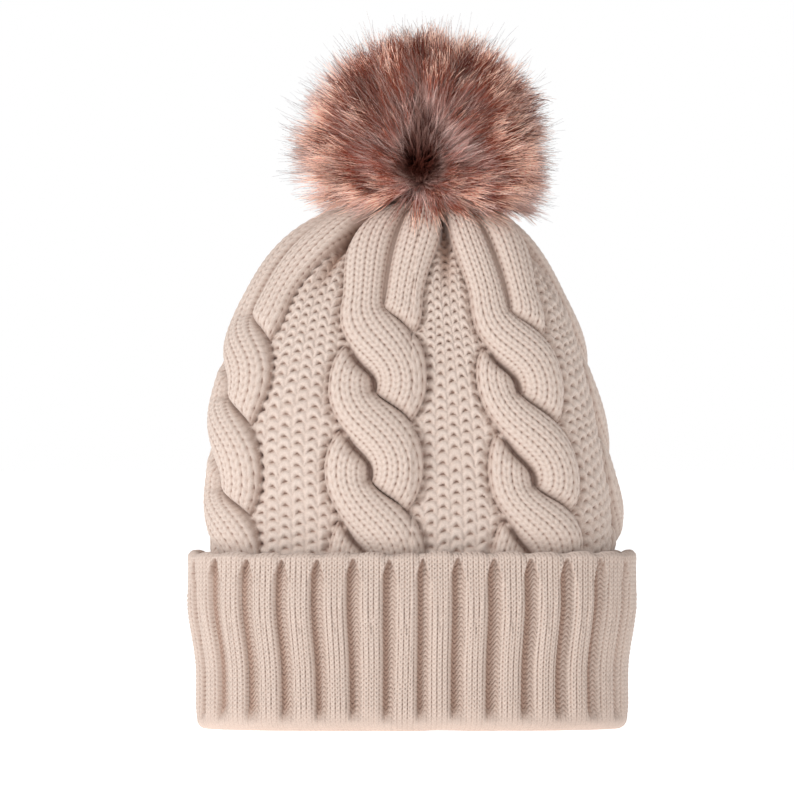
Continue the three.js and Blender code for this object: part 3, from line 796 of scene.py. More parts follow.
def roots_of(tip_way, polar, turn):
    """Where hairs grow: below their tips, and at the front combed away from the whorl and from
    the parting above it."""
    front = from_front(turn)
    at_line = np.exp(-((front / PARTING_WIDTH) ** 2)) * smoothstep(0.45, 1.0, polar)
    root_turn = turn - front * PARTING * at_line
    out = direction(polar, root_turn)
    close = smoothstep(-0.2, 0.85, tip_way @ WHORL)
    out = mix(out, WHORL, mix(*WHORL_PULL, close)[:, None])
    out[:, 2] -= np.sin(COMB) * (1 + 0.8 * smoothstep(1.5, 2.0, polar)) + 0.05
    return unit(out)


def comb_off_whorl(tip_way):
    whorl = unit(WHORL)
    cosine = np.clip(tip_way @ whorl, -1, 1)
    angle = np.arccos(cosine)
    across = unit(tip_way - cosine[:, None] * whorl)
    upward = smoothstep(-0.6, 0.3, across[:, 2])
    opened = angle + HOLLOW * upward * np.exp(-((angle / HOLLOW_WIDTH) ** 2))
    return np.cos(opened)[:, None] * whorl + np.sin(opened)[:, None] * across


def ringed_shade(path, along, span, polar):
    """Where each point is in the hair's sequence of colours: by its length and by its place in
    the pom, darkest round the whorl and later to turn pale at the top."""
    away = path - FAN_CENTRE
    away[..., 1] = np.where(away[..., 1] < 0, FRONT_SHADE * away[..., 1], away[..., 1])
    radial = np.linalg.norm(away, axis=-1) / span[:, None]
    lower = mix(0.90, 1.02, smoothstep(0.5, 1.5, polar)) + 0.13 * smoothstep(1.55, 1.9, polar)
    return np.clip(mix(along, radial, RING_SHARE) * lower[:, None], 0, 1)


def hollow_shade_paint(path):
    """Painted shade: 1 in the heart of the hollow at the whorl, less along the parting above it, 0
    elsewhere.
    """
    whorl = CORE_CENTRE + unit(WHORL) * CORE_RADII
    rise = path[..., 2] - whorl[2] + 2.5
    up_the_parting = np.clip(rise, 0, PARTING_RISE)
    share = up_the_parting / PARTING_RISE
    narrow = mix(1, PARTING_TAPER, share**0.6)
    beside = np.hypot((path[..., 0] - whorl[0]) / narrow, rise - up_the_parting)
    front = smoothstep(5, -15, path[..., 1])
    return (1 - smoothstep(*HOLLOW_SIZE, beside)) * front * mix(1, PARTING_DARK, share)


def tufts(way, seed):
    """Slow random variation over the ball, near 0 on average and about 1 strong."""
    pick = np.random.default_rng(seed)
    total = np.zeros(len(way))
    for _ in range(TUFT_WAVES):
        wave = unit(pick.normal(size=3)) * pick.uniform(*TUFT_PACE)
        total += np.sin(way @ wave + pick.uniform(0, TAU))
    return total * math.sqrt(2 / TUFT_WAVES)


def fur_layer(name, count, clumps, lengths, radii, steps, seed, gather, stray):
    """A layer of hair on the pom's core. `lengths` are shares of the way from the fan's centre
    to the outline, `gather` says how much a hair follows its clump, and `stray` how far it
    starts from it."""
    pick = np.random.default_rng(seed)
    clump_polar = np.arccos(pick.uniform(math.cos(LOWEST_TIP), 1.0, clumps))
    clump_turn = pick.uniform(0, TAU, clumps)
    clump_lean = pick.normal(0, CLUMP_LEAN, (clumps, 3))
    is_long = pick.random(clumps) < LONG_CLUMPS
    clump_length = np.where(is_long, pick.uniform(*LONG, clumps), pick.uniform(*SHORT, clumps))
    clump_tone = pick.normal(0, 1, clumps)
    member = pick.integers(0, clumps, count)
    polar = clump_polar[member] + pick.normal(0, stray, count)
    narrowing = np.maximum(np.sin(clump_polar[member]), 0.15)
    turn = clump_turn[member] + pick.normal(0, stray, count) / narrowing
    polar = np.clip(np.abs(polar), 0, LOWEST_TIP + 0.05)
    front = from_front(turn)
    gap = mix(*PARTING_OPEN, smoothstep(0.8, 1.75, polar)) * smoothstep(0.3, 0.7, polar)
    turn = turn + np.sign(front) * gap * np.exp(-((front / (2.2 * gap + 0.01)) ** 2))
    own = direction(polar, turn)
    shared = direction(clump_polar, clump_turn)[member] + clump_lean[member]
    tip_way = comb_off_whorl(unit(mix(own, shared, gather) + pick.normal(0, 0.03, (count, 3))))
    share = lengths[0] + (lengths[1] - lengths[0]) * clump_length[member]
    share = share * (1 - 0.10 * np.abs(pick.normal(0, 1, count)))
    span = reach(polar) * outline_lumps(polar, turn)
    tip = FAN_CENTRE + tip_way * (span * share)[:, None]
    out = roots_of(tip_way, polar, turn)
    root = CORE_CENTRE + out * CORE_RADII
    length = np.linalg.norm(tip - root, axis=1, keepdims=True)
    bend = root + unit(out / CORE_RADII) * length * 0.42 + pick.normal(0, 1.3, (count, 3))
    along = np.linspace(0, 1, steps)[None, :]
    curl = unit(pick.normal(size=(count, 3)))[:, None]
    wave = np.sin(along * pick.uniform(2.5, 6.0, (count, 1)) + pick.uniform(0, TAU, (count, 1)))
    path = curve_between(root, bend, tip, steps) + CURL * curl * (wave * along)[..., None]
    path = keep_off_crown(path)
    sooner = TUFT_TURN * tufts(tip_way, 81)[:, None] * along
    shade = np.clip(ringed_shade(path, along, span, polar) + sooner, 0, 1)
    radius = mix(radii[0], radii[1], along**1.5) * pick.uniform(0.75, 1.25, count)[:, None]
    tone = BASE_TONE + CLUMP_TONE * clump_tone[member] + HAIR_TONE * pick.normal(0, 1, count)
    tone = tone + UNDER_TONE * smoothstep(1.35, 1.75, polar)
    tone = tone + LEFT_TONE * np.maximum(0, -np.cos(turn))
    tone = np.clip(tone + TUFT_TONE * tufts(tip_way, 82), 0, 1)
    # the tone carries the painted shade in the hollow at the whorl and along the parting
    return tubes(name, path, radius, tone[:, None] * (1 - hollow_shade_paint(path)), shade)


FUR_LAYERS = (
    ("faux_fur_pile", 38000, 1150, (0.0, 1.0), (0.19, 0.06), 8, 5, 0.74, 0.105),
    ("faux_fur_underfur", 9000, 900, (0.0, 0.66), (0.42, 0.2), 4, 6, 0.3, 0.14),
    ("faux_fur_guard_hair", 3800, 900, (0.45, 1.09), (0.09, 0.03), 9, 7, 0.25, 0.12),
)


def make_fur():
    share = 1
    for name, count, *rest in FUR_LAYERS:
        layer = fur_layer(name, int(count * share), *rest)
        yield finish_piece(layer, "pom", "fur_pile", "pom_pile")


# ---- Sewn and wound pieces

SEAM_INSET = 11.0
SEAM_SIDE = 40.5
SEAM_ROWS = 0.72  # how far up the dome the seam runs, as a share
SEAM_YARN = 1.15
SEAM_SWAY = 0.55
DRAW_YARN = 1.05
DRAW_CIRCLE = 6.9
CROWN_LOOPS = 30
LOOP_YARN = 0.8
POM_THREAD = 0.55
POM_THREAD_CIRCLE = 5.4
THREAD = 0.3
STITCH_STRANDS = 3
STITCH_SPREAD = 0.34
STITCH_LOOP = 1.2
SHANK_RADIUS = 1.85
KNOT_TURNS = 5


def circle_cord(name, node, circle, *twist):
    turn = np.linspace(0, TAU, 161)
    path = box_middle(node) + circle * points_at(np.cos(turn), np.sin(turn), 0)
    return cord_piece(name, path, *twist, closed=True)


def inside_back(share, inset):
    """Points up the middle of the inside of the back, at shares of the way up the dome."""
    _, depth, height, lean = dome_outline(share)
    line = points_at(lean, depth, height)
    along = unit(np.gradient(line, axis=0))
    return line - unit(points_at(0, along[:, 2], -along[:, 1])) * inset


def make_seam_yarn():
    """The yarn that closes the back seam, worked from side to side up the inside."""
    low, _ = box_mm("back_seam_yarn")
    lower = points_at(0, SEAM_SIDE, np.linspace(low[2] + 1, BODY_BOTTOM - 10, 20))
    upper = inside_back(np.linspace(0.02, SEAM_ROWS, 60), SEAM_INSET)
    path, at = evenly(np.concatenate([lower, upper]), 500)
    path[:, 0] += SEAM_SWAY * np.sin(TAU * at / (2 * ROW_PITCH))
    obj = cord_piece("seam_yarn", path, SEAM_YARN, 5.0)
    return finish_piece(obj, "hat", "wool_yarn", "back_seam_yarn")


def make_draw_yarn():
    obj = circle_cord("draw_yarn", "crown_draw_yarn", DRAW_CIRCLE, DRAW_YARN, 4.4, 3)
    return finish_piece(obj, "hat", "wool_yarn", "crown_draw_yarn")


def make_pom_thread():
    node = "pom_draw_thread"
    obj = circle_cord("pom_gathering_thread", node, POM_THREAD_CIRCLE, POM_THREAD, 2.2, 2)
    return finish_piece(obj, "pom", "thread", node)


def make_crown_loops():
    """The last loops of the crown, drawn in over the gathering yarn."""
    middle, count = box_middle("crown_draw_yarn"), CROWN_LOOPS
    pick = np.random.default_rng(71)
    turn = TAU * (np.arange(count) + pick.uniform(-0.2, 0.2, count)) / count
    out = direction(math.pi / 2, turn)
    start = middle + out * (DRAW_CIRCLE + 6.4) - UP * pick.uniform(3.2, 4.2, (count, 1))
    end = middle + out * (DRAW_CIRCLE + 4.6) - UP * 7.0
    bend = middle - out * 1.6 + UP * 8.6
    path = curve_between(start, bend, end, 20)
    obj = threads("crown_loops", path, LOOP_YARN, pick.random(count))
    return finish_piece(obj, "hat", "wool_body", "knit_body")


def thread_loops(name, middle, outward):
    """Turns of sewing thread side by side, each a closed loop through a hole and over a rim."""
    turn = np.linspace(0, TAU, 41)[:, None]
    side = np.array([-outward[1], outward[0], 0.0])
    ring = np.cos(turn) * outward + np.sin(turn) * UP
    loops = []
    for place in np.arange(STITCH_STRANDS) - (STITCH_STRANDS - 1) / 2:
        centre_line = middle + (STITCH_LOOP + 0.08 * place) * ring
        loops.append(centre_line + side * STITCH_SPREAD * place + 0.18 * np.sin(turn) * side)
    return threads(name, np.array(loops), THREAD * 0.72, np.linspace(0.35, 0.65, STITCH_STRANDS))


def make_stitches():
    for kind, body in (("socket_stitch", "socket"), ("stud_stitch", "pom")):
        for number in range(1, 5):
            node = f"{kind}_{number}"
            middle = box_middle(node)
            outward = unit((middle - AXIS) * np.array([1, 1, 0]))
            obj = thread_loops(f"{kind}_thread_{number}", middle, outward)
            yield finish_piece(obj, body, "thread", node)


def wound(profile, pitch, steps_per_turn=14):
    """A thread wound round the pom's axis over a profile of (radius, height) points."""
    radius, height = np.array(profile, float).T
    length = cumulative(np.hypot(np.diff(radius), np.diff(height)))
    at = np.linspace(0, length[-1], int(length[-1] / pitch * steps_per_turn))
    angle = TAU * at / pitch
    r = np.interp(at, length, radius)
    return AXIS + points_at(r * np.cos(angle), r * np.sin(angle), np.interp(at, length, height))


def make_shank():
    """Thread wound round itself between the patch and the snap, with a knot under the patch."""
    low, high = box_mm("shank_thread")
    foot, top = low[2] + THREAD, high[2] - THREAD
    knot = foot + 1.9
    stem = SHANK_RADIUS
    profile = [(0.1, foot), (2.1, foot), (3.25, knot), (2.5, foot + 4.0), (stem, foot + 4.5)]
    profile += [(stem, top - 2.1), (3.05, top - 1.3), (3.05, top - 0.4), (1.4, top), (0.1, top)]
    paths = [wound(profile, 0.58)]
    turn = np.linspace(0, TAU, len(paths[0]))
    for number in range(KNOT_TURNS):
        tilt = 1.45 * np.sin(turn + TAU * number / KNOT_TURNS)
        radius = 3.45 - 0.28 * np.abs(tilt)
        paths.append(AXIS + points_at(radius * np.cos(turn), radius * np.sin(turn), knot + tilt))
    tones = np.linspace(0.3, 0.7, len(paths))
    obj = threads("shank_thread_winding", np.array(paths), THREAD, tones, sides=6)
    return finish_piece(obj, "shank", "thread", "shank_thread")


# ---- Cloth pieces


POLE_WELD = 2e-6  # metres


def turned_cloth(name, radius, height, columns, push, close=True):
    """A piece turned about the pom's axis from a section of radii and heights, moved outwards
    by push(turn, row), with the points at its poles joined."""
    turn = TAU * np.arange(columns) / columns
    radius, height = np.asarray(radius, float)[:, None], np.asarray(height, float)[:, None]
    base = points_at(radius * np.cos(turn), radius * np.sin(turn), height)
    away = push(turn[None, :], np.arange(len(radius))[:, None])
    obj = ring_mesh(name, AXIS + base + grid_normals(base) * away[..., None], None, close)
    work = bmesh.new()
    work.from_mesh(obj.data)
    bmesh.ops.remove_doubles(work, verts=work.verts, dist=POLE_WELD)
    work.to_mesh(obj.data)
    work.free()
    return obj


PLEATS = 22


def make_backing():
    """The pom's woven backing: a gathered bag round the stuffing, pleated at its mouth."""
    wide, tall = CORE_RADII[0], CORE_RADII[2]
    mouth = -math.acos(6.9 / wide)
    rows, thick = 110, 1.5
    outer = np.linspace(mouth, math.pi / 2, rows)
    angle = np.concatenate([outer, outer[::-1]])
    outside = np.arange(2 * rows) < rows
    radius = np.maximum(np.where(outside, wide - 0.4, wide - thick) * np.cos(angle), 0)
    height = np.where(outside, tall - 0.7, tall - thick - 0.2) * np.sin(angle)

    def push(turn, row):
        at = angle[row]
        near_mouth = smoothstep(mouth + 0.75, mouth, at)
        fold = 0.40 * near_mouth * np.cos(PLEATS * turn + 0.6 * np.sin(3 * turn))
        weave = np.sin(150 * turn) * np.sin(2.3 * row) * 0.09 * np.cos(at)
        return fold * np.where(outside[row], 1.0, -1.0) + weave

    obj = turned_cloth("woven_backing", radius, CORE_CENTRE[2] + height, 400, push)
    finish_piece(obj, "pom", "fur_backing", "pom_backing")
    return obj


LOOSE_FIBRES = 700
FIBRE_RADIUS = 0.06


def make_stuffing():
    """A ball of polyester fibre, lumpy, with loose fibres over it."""
    low, high = box_mm("pom_stuffing")
    middle_z = CORE_CENTRE[2]
    radius, half = (high[0] - low[0]) / 2, high[2] - middle_z
    floor = math.asin(max(-1, (low[2] - middle_z) / half))
    side = np.linspace(floor, math.pi / 2, 60)
    flat = np.linspace(0, 1, 14, endpoint=False)
    r = np.concatenate([flat * radius * math.cos(floor), radius * np.cos(side)])
    z = np.concatenate([np.full(14, low[2]), middle_z + half * np.sin(side)])
    lump = Wander(41, 9)

    def push(turn, row):
        return -0.7 + 0.55 * lump(r[row] * turn, row * 0.9) * np.minimum(r[row] / 6, 1)

    ball = turned_cloth("fibre_stuffing", np.maximum(r, 0), z, 160, push, False)
    finish_piece(ball, "pom", "stuffing_fibre", "pom_stuffing")
    pick, count = np.random.default_rng(42), LOOSE_FIBRES
    polar = np.arccos(pick.uniform(-0.55, 1, count))
    start = direction(polar, pick.uniform(0, TAU, count))
    end = unit(start + pick.normal(0, 0.35, (count, 3)))
    radii = np.array([radius, radius, half]) - 0.9
    bend = unit(start + end) * (radii + pick.uniform(-0.2, 0.9, (count, 1)))
    centre = AXIS + middle_z * UP
    path = curve_between(centre + start * radii, centre + bend, centre + end * radii, 7)
    path[..., 2] = np.maximum(path[..., 2], low[2] + 0.1)
    fibres = threads("stuffing_fibres", path, FIBRE_RADIUS, pick.random(count), sides=3)
    return ball, finish_piece(fibres, "pom", "stuffing_fibre", "pom_stuffing")


PATCH_EYE = 2.9
PATCH_EDGE = 0.45
WHIP_STITCHES = 26


def make_patch():
    """A felt disc inside the crown that spreads the pull of the shank, whipped to the knit."""
    low, high = box_mm("backing_patch")
    radius = (high[0] - low[0]) / 2 - 0.35
    edge, z0, z1 = PATCH_EDGE, low[2] + 0.1, high[2] - 0.1
    middle, half = (z0 + z1) / 2, (z1 - z0) / 2
    across = np.linspace(PATCH_EYE + edge, radius - edge, 40)
    bend = np.linspace(-math.pi / 2, math.pi / 2, 9)[1:-1]
    rim, eye = radius - edge + edge * np.cos(bend), PATCH_EYE + edge - edge * np.cos(bend)
    r = np.concatenate([across, rim, across[::-1], eye])
    round_z = half * np.sin(bend)
    z = np.concatenate([np.full(40, z0), middle + round_z, np.full(40, z1), middle - round_z])
    fuzz, wave = Wander(51, 1.6, 12), Wander(52, 14)

    def push(turn, row):
        x, y = r[row] * np.cos(turn), r[row] * np.sin(turn)
        return 0.05 * fuzz(x, y) + 0.06 * wave(x, y)

    disc = turned_cloth("felt_patch", r, z, 240, push)
    finish_piece(disc, "hat", "felt", "backing_patch")
    pick, count = np.random.default_rng(53), WHIP_STITCHES
    turn = TAU * (np.arange(count) + pick.uniform(-0.12, 0.12, count)) / count
    out = points_at(np.cos(turn), np.sin(turn), 0)
    side = points_at(-np.sin(turn), np.cos(turn), 0)
    start = AXIS + out * (radius - pick.uniform(1.6, 2.2, (count, 1))) + UP * (z0 + 0.25)
    end = AXIS + out * (radius + 0.7) + side * 1.2 + UP * (z1 + 0.6)
    bend = AXIS + out * (radius + 0.6) + side * 0.5 + UP * (z0 - 0.95)
    path = curve_between(start, bend, end, 12)
    whip = threads("patch_whip_stitches", path, 0.26, pick.random(count))
    return disc, finish_piece(whip, "hat", "thread", "backing_patch")


LABEL_COLUMNS, LABEL_ROWS = 90, 60
LABEL_THICK = 0.42
LABEL_UV = 60  # millimetres across its UV map
LABEL_STITCHES = 16


def make_label():
    """A blank woven label, hung from its top edge inside the back of the cuff."""
    low, high = box_mm("care_label")
    half, tall = (high[0] - low[0]) / 2 - 0.2, high[2] - low[2]
    x = np.linspace(-half, half, LABEL_COLUMNS)[None, :]
    v = np.linspace(0, 1, LABEL_ROWS)[:, None]
    z = low[2] + tall * v
    hem = smoothstep(0.07, 0.05, v) + smoothstep(0.93, 0.95, v)
    curve = 0.14 * np.sin(x / 5.2) * (1 - v) + 1.9 * smoothstep(0.62, 1, v)
    y = (low[1] + high[1]) / 2 + curve
    half_thick = LABEL_THICK / 2 * (1 + 0.5 * hem) + 0.03 * np.sin(x * 9) * np.sin(z * 9)
    front, back = points_at(x, y - half_thick, z), points_at(x, y + half_thick, z)
    points = np.concatenate([front, back[:, ::-1]], axis=1).reshape(-1, 3)
    wide = 2 * LABEL_COLUMNS
    column = np.arange(LABEL_COLUMNS - 1)
    faces = [ring_quads(LABEL_ROWS, wide)]
    for row, order in ((0, -1), (LABEL_ROWS - 1, 1)):
        first, last = row * wide + column, row * wide + wide - 1 - column
        faces.append(np.stack([first, first + 1, last - 1, last][::order], -1))
    faces = np.concatenate(faces)
    uv = points[faces.ravel()][:, [0, 2]] / LABEL_UV + 0.5
    label = new_mesh("woven_label", points, faces, None, uv)
    finish_piece(label, "hat", "label_satin", "care_label")
    at = np.linspace(-half + 1, half - 1, LABEL_STITCHES)
    start = points_at(at, high[1] + 1.1, high[2] - 1.3)
    end = points_at(at + 0.8, high[1] + 5.0, high[2] + 0.6)
    path = curve_between(start, (start + end) / 2 + np.array([0, 0.4, 1.1]), end, 10)
    tones = np.random.default_rng(61).random(LABEL_STITCHES)
    stitches = threads("label_stitches", path, 0.22, tones)
    return label, finish_piece(stitches, "hat", "thread", "care_label")


# ---- Camera, floor and lights

AIM = Vector((-7.0, 0.0, 154.5))
VIEW_WIDTH = 370.5
SILHOUETTE_DEPTH = 12.0  # how far in front of the hat's middle the picture's scale holds
LENS, SENSOR = 400, 36
FLOOR_HALF = 14.0


def link(name, data):
    obj = bpy.data.objects.new(name, data)
    bpy.context.scene.collection.objects.link(obj)
    return obj


def make_camera():
    data = bpy.data.cameras.new("camera")
    data.lens, data.sensor_width = LENS, SENSOR
    data.clip_start, data.clip_end = 0.05, 50
    camera = bpy.context.scene.camera = link("camera", data)
    distance = VIEW_WIDTH * LENS / SENSOR
    camera.location = (AIM - Vector((0, distance + SILHOUETTE_DEPTH, 0))) * MM
    camera.rotation_euler = (math.pi / 2, 0, 0)


def make_stage():
    mesh = bpy.data.meshes.new("floor")
    far = FLOOR_HALF
    corners = [(-far, -far, 0), (far, -far, 0), (far, far, 0), (-far, far, 0)]
    mesh.from_pydata(corners, [], [range(4)])
    n = Nodes("floor_white")
    n.set(Base_Color=(0.95, 0.95, 0.95), Roughness=0.9, Specular_IOR_Level=0.1)
    n.set(Emission_Color=(1, 1, 1), Emission_Strength=0.72)
    mesh.materials.append(n.material)
    link("floor", mesh)


def area_light(name, place, size, power):
    data = bpy.data.lights.new(name, "AREA")
    data.shape, data.size, data.energy = "DISK", size, power
    light = link(name, data)
    light.location = place
    aim = Vector((0, 0, 0.16)) - light.location
    light.rotation_euler = aim.to_track_quat("-Z", "Y").to_euler()


def make_lights():
    """A white room that is darker overhead, a key light on the left and a weak fill."""
    scene = bpy.context.scene
    scene.world = bpy.data.worlds.new("studio")
    scene.world.use_nodes = True
    tree = scene.world.node_tree
    place, split, sky = (
        tree.nodes.new("ShaderNode" + kind) for kind in ("TexCoord", "SeparateXYZ", "ValToRGB")
    )
    for element, (height, grey) in zip(sky.color_ramp.elements, ((0.12, 1.0), (0.7, 0.32))):
        element.position, element.color = height, (grey, grey, grey, 1)
    tree.links.new(place.outputs["Generated"], split.inputs[0])
    tree.links.new(split.outputs["Z"], sky.inputs["Fac"])
    tree.links.new(sky.outputs["Color"], tree.nodes["Background"].inputs["Color"])
    area_light("key", (-2.1, -1.5, 0.8), 0.8, 33)
    area_light("fill", (0.6, -2.0, 0.9), 1.2, 5)
    scene.view_settings.view_transform = "Standard"


# ---- Materials


class Nodes:
    """A short way to build a material's node tree."""

    def __init__(self, name):
        self.material = bpy.data.materials.new(name)
        self.material.use_nodes = True
        self.tree = self.material.node_tree
        self.shader = self.tree.nodes["Principled BSDF"]

    def feed(self, socket, source):
        """Link an output to a socket, or give the socket a number or a colour."""
        if isinstance(source, bpy.types.NodeSocket):
            self.tree.links.new(source, socket)
        else:
            socket.default_value = (*source, 1) if isinstance(source, tuple) else source

    def set(self, node=None, **values):
        node = node or self.shader
        for key, value in values.items():
            self.feed(node.inputs[key.replace("_", " ")], value)
        return node

    def add(self, kind, settings=None, **values):
        node = self.tree.nodes.new("ShaderNode" + kind)
        for key, value in (settings or {}).items():
            setattr(node, key, value)
        return self.set(node, **values)

    def attribute(self, name):
        return self.add("Attribute", {"attribute_name": name}).outputs["Fac"]

    def position(self):
        return self.add("TexCoord").outputs["Object"]

    def noise(self, scale, detail=3.0):
        node = self.add("TexNoise", Scale=scale, Detail=detail, Vector=self.position())
        return node.outputs["Fac"]

    def wave(self, scale, distortion, vector=None, **settings):
        vector = vector or self.position()
        node = self.add("TexWave", settings, Scale=scale, Distortion=distortion, Vector=vector)
        return node.outputs["Fac"]

    def ramp(self, fac, stops):
        node = self.add("ValToRGB", Fac=fac)
        band = node.color_ramp.elements
        while len(band) < len(stops):
            band.new(0.5)
        for element, (place, colour) in zip(band, stops):
            element.position, element.color = place, (*colour, 1)
        return node.outputs["Color"]

    def fleck(self, scale, dark, light, detail=2):
        return self.ramp(self.noise(scale, detail), [(0.35, dark), (0.65, light)])

    def maths(self, operation, a, b):
        node = self.add("Math", {"operation": operation})
        self.feed(node.inputs[0], a)
        self.feed(node.inputs[1], b)
        return node.outputs[0]

    def sum(self, a, b):
        return self.maths("ADD", a, b)

    def times(self, a, b):
        return self.maths("MULTIPLY", a, b)

    def blend(self, fac, a, b, kind="MULTIPLY"):
        node = self.add("Mix", {"data_type": "RGBA", "blend_type": kind})
        for number, source in ((0, fac), (6, a), (7, b)):
            self.feed(node.inputs[number], source)
        return node.outputs[2]

    def bump(self, height, strength, distance):
        node = self.add("Bump", Strength=strength, Distance=distance, Height=height)
        self.set(Normal=node.outputs["Normal"])


def wool_material():
    """Pinkish oatmeal yarn, with painted shade: pale on the yarn, darker and warmer down between
    the stitches, and darker again in folds and troughs.
    """
    n = Nodes("oatmeal_wool")
    # painted shade between the stitches, from the mesh
    light = n.ramp(n.attribute("painted_crevice_shade"), WOOL_STOPS)
    mottled = n.blend(0.16, light, n.blend(n.noise(38, 2), light, (0.78, 0.66, 0.60)), "MIX")
    flecked = n.blend(0.75, mottled, n.fleck(2600, (0.80, 0.76, 0.74), (1.08, 1.06, 1.05)))
    n.set(
        # painted shade in the crown's folds and the cuff's troughs
        Base_Color=n.blend(n.attribute("fold"), flecked, (0.62, 0.50, 0.44)),
        Roughness=n.sum(n.times(n.noise(900, 2), 0.12), 0.84),
    )
    n.set(Specular_IOR_Level=0.25, Sheen_Weight=0.35, Sheen_Roughness=0.5)
    n.set(Sheen_Tint=(1.0, 0.93, 0.88))
    n.bump(n.noise(2200, 3), 0.55, 0.0004)
    return n.material


def fur_material(name, stops):
    """Faux fur that changes colour from the root to the tip, lighter or darker by the tuft, and
    darkened by the painted shade that comes in through its tone.
    """
    n = Nodes(name)
    tone = n.attribute("tone")
    shift = n.times(n.maths("SUBTRACT", tone, 0.5), 0.22)
    colour = n.ramp(n.sum(n.attribute("along"), shift), stops)
    n.set(Base_Color=n.blend(1.0, colour, n.ramp(tone, FUR_LEVELS)))
    n.set(Roughness=0.55, Specular_IOR_Level=0.08)
    return n.material


# The yarn's colour by its painted crevice shade, from deep between the stitches to the top of the
# yarn
WOOL_STOPS = [
    (0.0, (0.20, 0.120, 0.095)),
    (0.3, (0.42, 0.310, 0.260)),
    (0.65, (0.59, 0.482, 0.420)),
    (1.0, (0.67, 0.575, 0.515)),
]
FUR_LEVELS = [  # what the colour is multiplied by, from dark tufts to pale ones; the lowest stop also gives the painted shade in the hollow at the whorl
    (0.0, (0.19, 0.075, 0.055)),
    (0.15, (0.42, 0.32, 0.29)),
    (0.5, (1, 1, 1)),
    (0.9, (1.65, 1.75, 1.80)),
]
FUR_STOPS = [
    (0.00, (0.018, 0.004, 0.003)),
    (0.18, (0.10, 0.032, 0.025)),
    (0.32, (0.52, 0.300, 0.265)),
    (0.54, (0.92, 0.66, 0.60)),
    (0.62, (0.72, 0.44, 0.38)),
    (0.71, (0.28, 0.074, 0.048)),
    (0.80, (0.33, 0.082, 0.046)),
    (0.87, (0.93, 0.58, 0.44)),
    (0.95, (0.98, 0.68, 0.56)),
    (1.00, (0.52, 0.35, 0.31)),
]
UNDERFUR_STOPS = [
    (0.0, (0.014, 0.004, 0.003)),
    (0.5, (0.060, 0.016, 0.012)),
    (1.0, (0.20, 0.065, 0.045)),
]
GUARD_STOPS = [
    (0.0, (0.04, 0.014, 0.010)),
    (0.35, (0.45, 0.30, 0.27)),
    (0.62, (0.85, 0.66, 0.60)),
    (0.82, (0.70, 0.46, 0.38)),
    (0.93, (0.16, 0.09, 0.085)),
    (1.0, (0.07, 0.04, 0.045)),
]


def thread_material(name, colour, twist, sheen):
    """Twisted thread or yarn: a slanting light and dark stripe."""
    n = Nodes(name)
    wave = n.wave(twist, 1.4, bands_direction="DIAGONAL")
    base = n.ramp(wave, [(0.15, tuple(0.62 * c for c in colour)), (0.7, colour)])
    flecked = n.blend(1.0, base, n.fleck(1800, (0.86, 0.84, 0.82), (1.05, 1.05, 1.05)))
    tone = n.ramp(n.attribute("tone"), [(0.2, (0.93, 0.92, 0.91)), (0.8, (1.0, 1.0, 1.0))])
    n.set(Base_Color=n.blend(1.0, flecked, tone))
    n.set(Roughness=0.75, Specular_IOR_Level=0.3, Sheen_Weight=sheen, Sheen_Roughness=0.5)
    n.bump(wave, 0.5, 0.0002)
    return n.material


def felt_material(name, light, dark, scale):
    """Matted fibre: two tones mixed by coarse and fine noise, with a furry bump."""
    n = Nodes(name)
    mixed = n.sum(n.times(n.noise(scale, 4), 0.45), n.times(n.noise(scale * 9, 5), 0.55))
    n.set(Base_Color=n.ramp(mixed, [(0.38, dark), (0.6, light)]))
    n.set(Roughness=0.95, Specular_IOR_Level=0.15, Sheen_Weight=0.3, Sheen_Roughness=0.6)
    n.bump(mixed, 0.7, 0.0004)
    return n.material


def woven_material(name, light, dark, per_metre, roughness, sheen):
    """Plain weave: crossing waves of warp and weft that give both the tone and the bump."""
    n = Nodes(name)
    cloth = n.sum(*(n.times(n.wave(per_metre, 0.6, bands_direction=axis), 0.5) for axis in "XZ"))
    slub = n.times(n.noise(600, 3), 0.35)
    n.set(Base_Color=n.ramp(n.sum(cloth, slub), [(0.35, dark), (0.85, light)]))
    n.set(Roughness=roughness, Specular_IOR_Level=0.35, Sheen_Weight=sheen, Sheen_Roughness=0.4)
    n.bump(cloth, 0.6, 0.0002)
    return n.material


def metal_material(name, light, dark, roughness, scale):
    """Nickel-plated steel with fine turning marks and a few worn, duller places."""
    n = Nodes(name)
    shifted = n.add("VectorMath", {"operation": "SUBTRACT"})
    n.feed(shifted.inputs[0], n.position())
    shifted.inputs[1].default_value = AXIS * MM
    marks = n.wave(scale, 2.0, shifted.outputs[0], wave_type="RINGS", rings_direction="Z")
    worn = n.noise(260, 4)
    n.set(
        Base_Color=n.ramp(worn, [(0.35, dark), (0.62, light)]),
        Roughness=n.times(n.sum(worn, n.times(marks, 0.4)), roughness),
        Metallic=1.0,
    )
    n.bump(marks, 0.25, 0.00005)
    return n.material


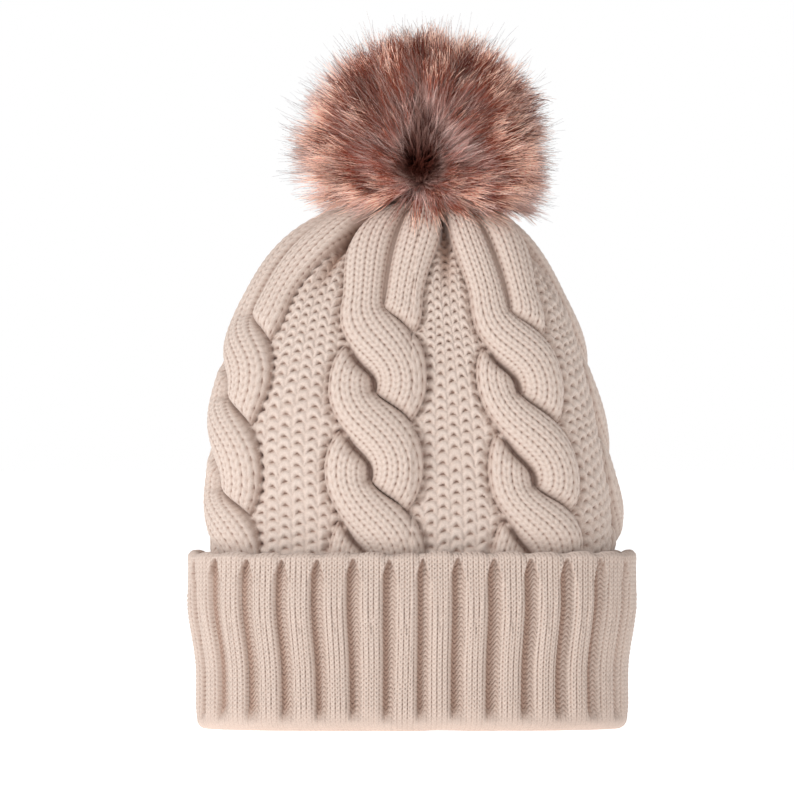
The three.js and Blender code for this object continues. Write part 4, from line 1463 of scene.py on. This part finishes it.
def plastic_material(name, light, dark):
    """Moulded plastic sheet: faint flow marks, scuffs and a satin gloss."""
    n = Nodes(name)
    scuff = n.noise(1500, 2)
    n.set(Base_Color=n.fleck(90, dark, light, 3), Roughness=n.sum(n.times(scuff, 0.25), 0.35))
    n.bump(scuff, 0.15, 0.0001)
    return n.material


# ---- The picture


def dress(material, *pieces):
    for obj in pieces:
        obj.data.materials.clear()
        obj.data.materials.append(material)


make_camera()
make_stage()
make_lights()
dress(wool_material(), make_knit_body(), make_ribbed_cuff())
pile, under, guard = make_fur()
dress(fur_material("faux_fur", FUR_STOPS), pile)
dress(fur_material("faux_underfur", UNDERFUR_STOPS), under)
dress(fur_material("faux_guard_hair", GUARD_STOPS), guard)

yarn = thread_material("oatmeal_yarn", (0.72, 0.595, 0.52), 620, 0.35)
thread = thread_material("sewing_thread", (0.62, 0.55, 0.48), 2400, 0.15)
felt = felt_material("felt", (0.50, 0.43, 0.37), (0.40, 0.34, 0.29), 180)
fibre = felt_material("polyester_fibre", (0.86, 0.85, 0.82), (0.66, 0.65, 0.62), 260)
backing = woven_material("backing_cloth", (0.22, 0.12, 0.09), (0.09, 0.045, 0.035), 420, 0.9, 0.2)
satin = woven_material("label_satin", (0.88, 0.85, 0.81), (0.66, 0.63, 0.59), 900, 0.42, 0.25)
dress(yarn, make_seam_yarn(), make_draw_yarn(), make_crown_loops())
dress(thread, make_pom_thread(), make_shank(), *make_stitches())
label, label_stitches = make_label()
patch, whip_stitches = make_patch()
dress(satin, label)
dress(felt, patch)
dress(thread, label_stitches, whip_stitches)
dress(fibre, *make_stuffing())
dress(backing, make_backing())

plated = metal_material("plated_steel", (0.62, 0.61, 0.59), (0.50, 0.49, 0.47), 0.42, 900)
spring_steel = metal_material("spring_steel", (0.55, 0.55, 0.56), (0.42, 0.42, 0.44), 0.36, 2200)
moulded = plastic_material("moulded_plastic", (0.80, 0.77, 0.71), (0.72, 0.69, 0.63))
for node, material in (
    ("snap_socket", plated),
    ("snap_stud", plated),
    ("snap_spring", spring_steel),
    ("pom_base_disc", moulded),
):
    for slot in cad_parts[node].material_slots:
        slot.material = material
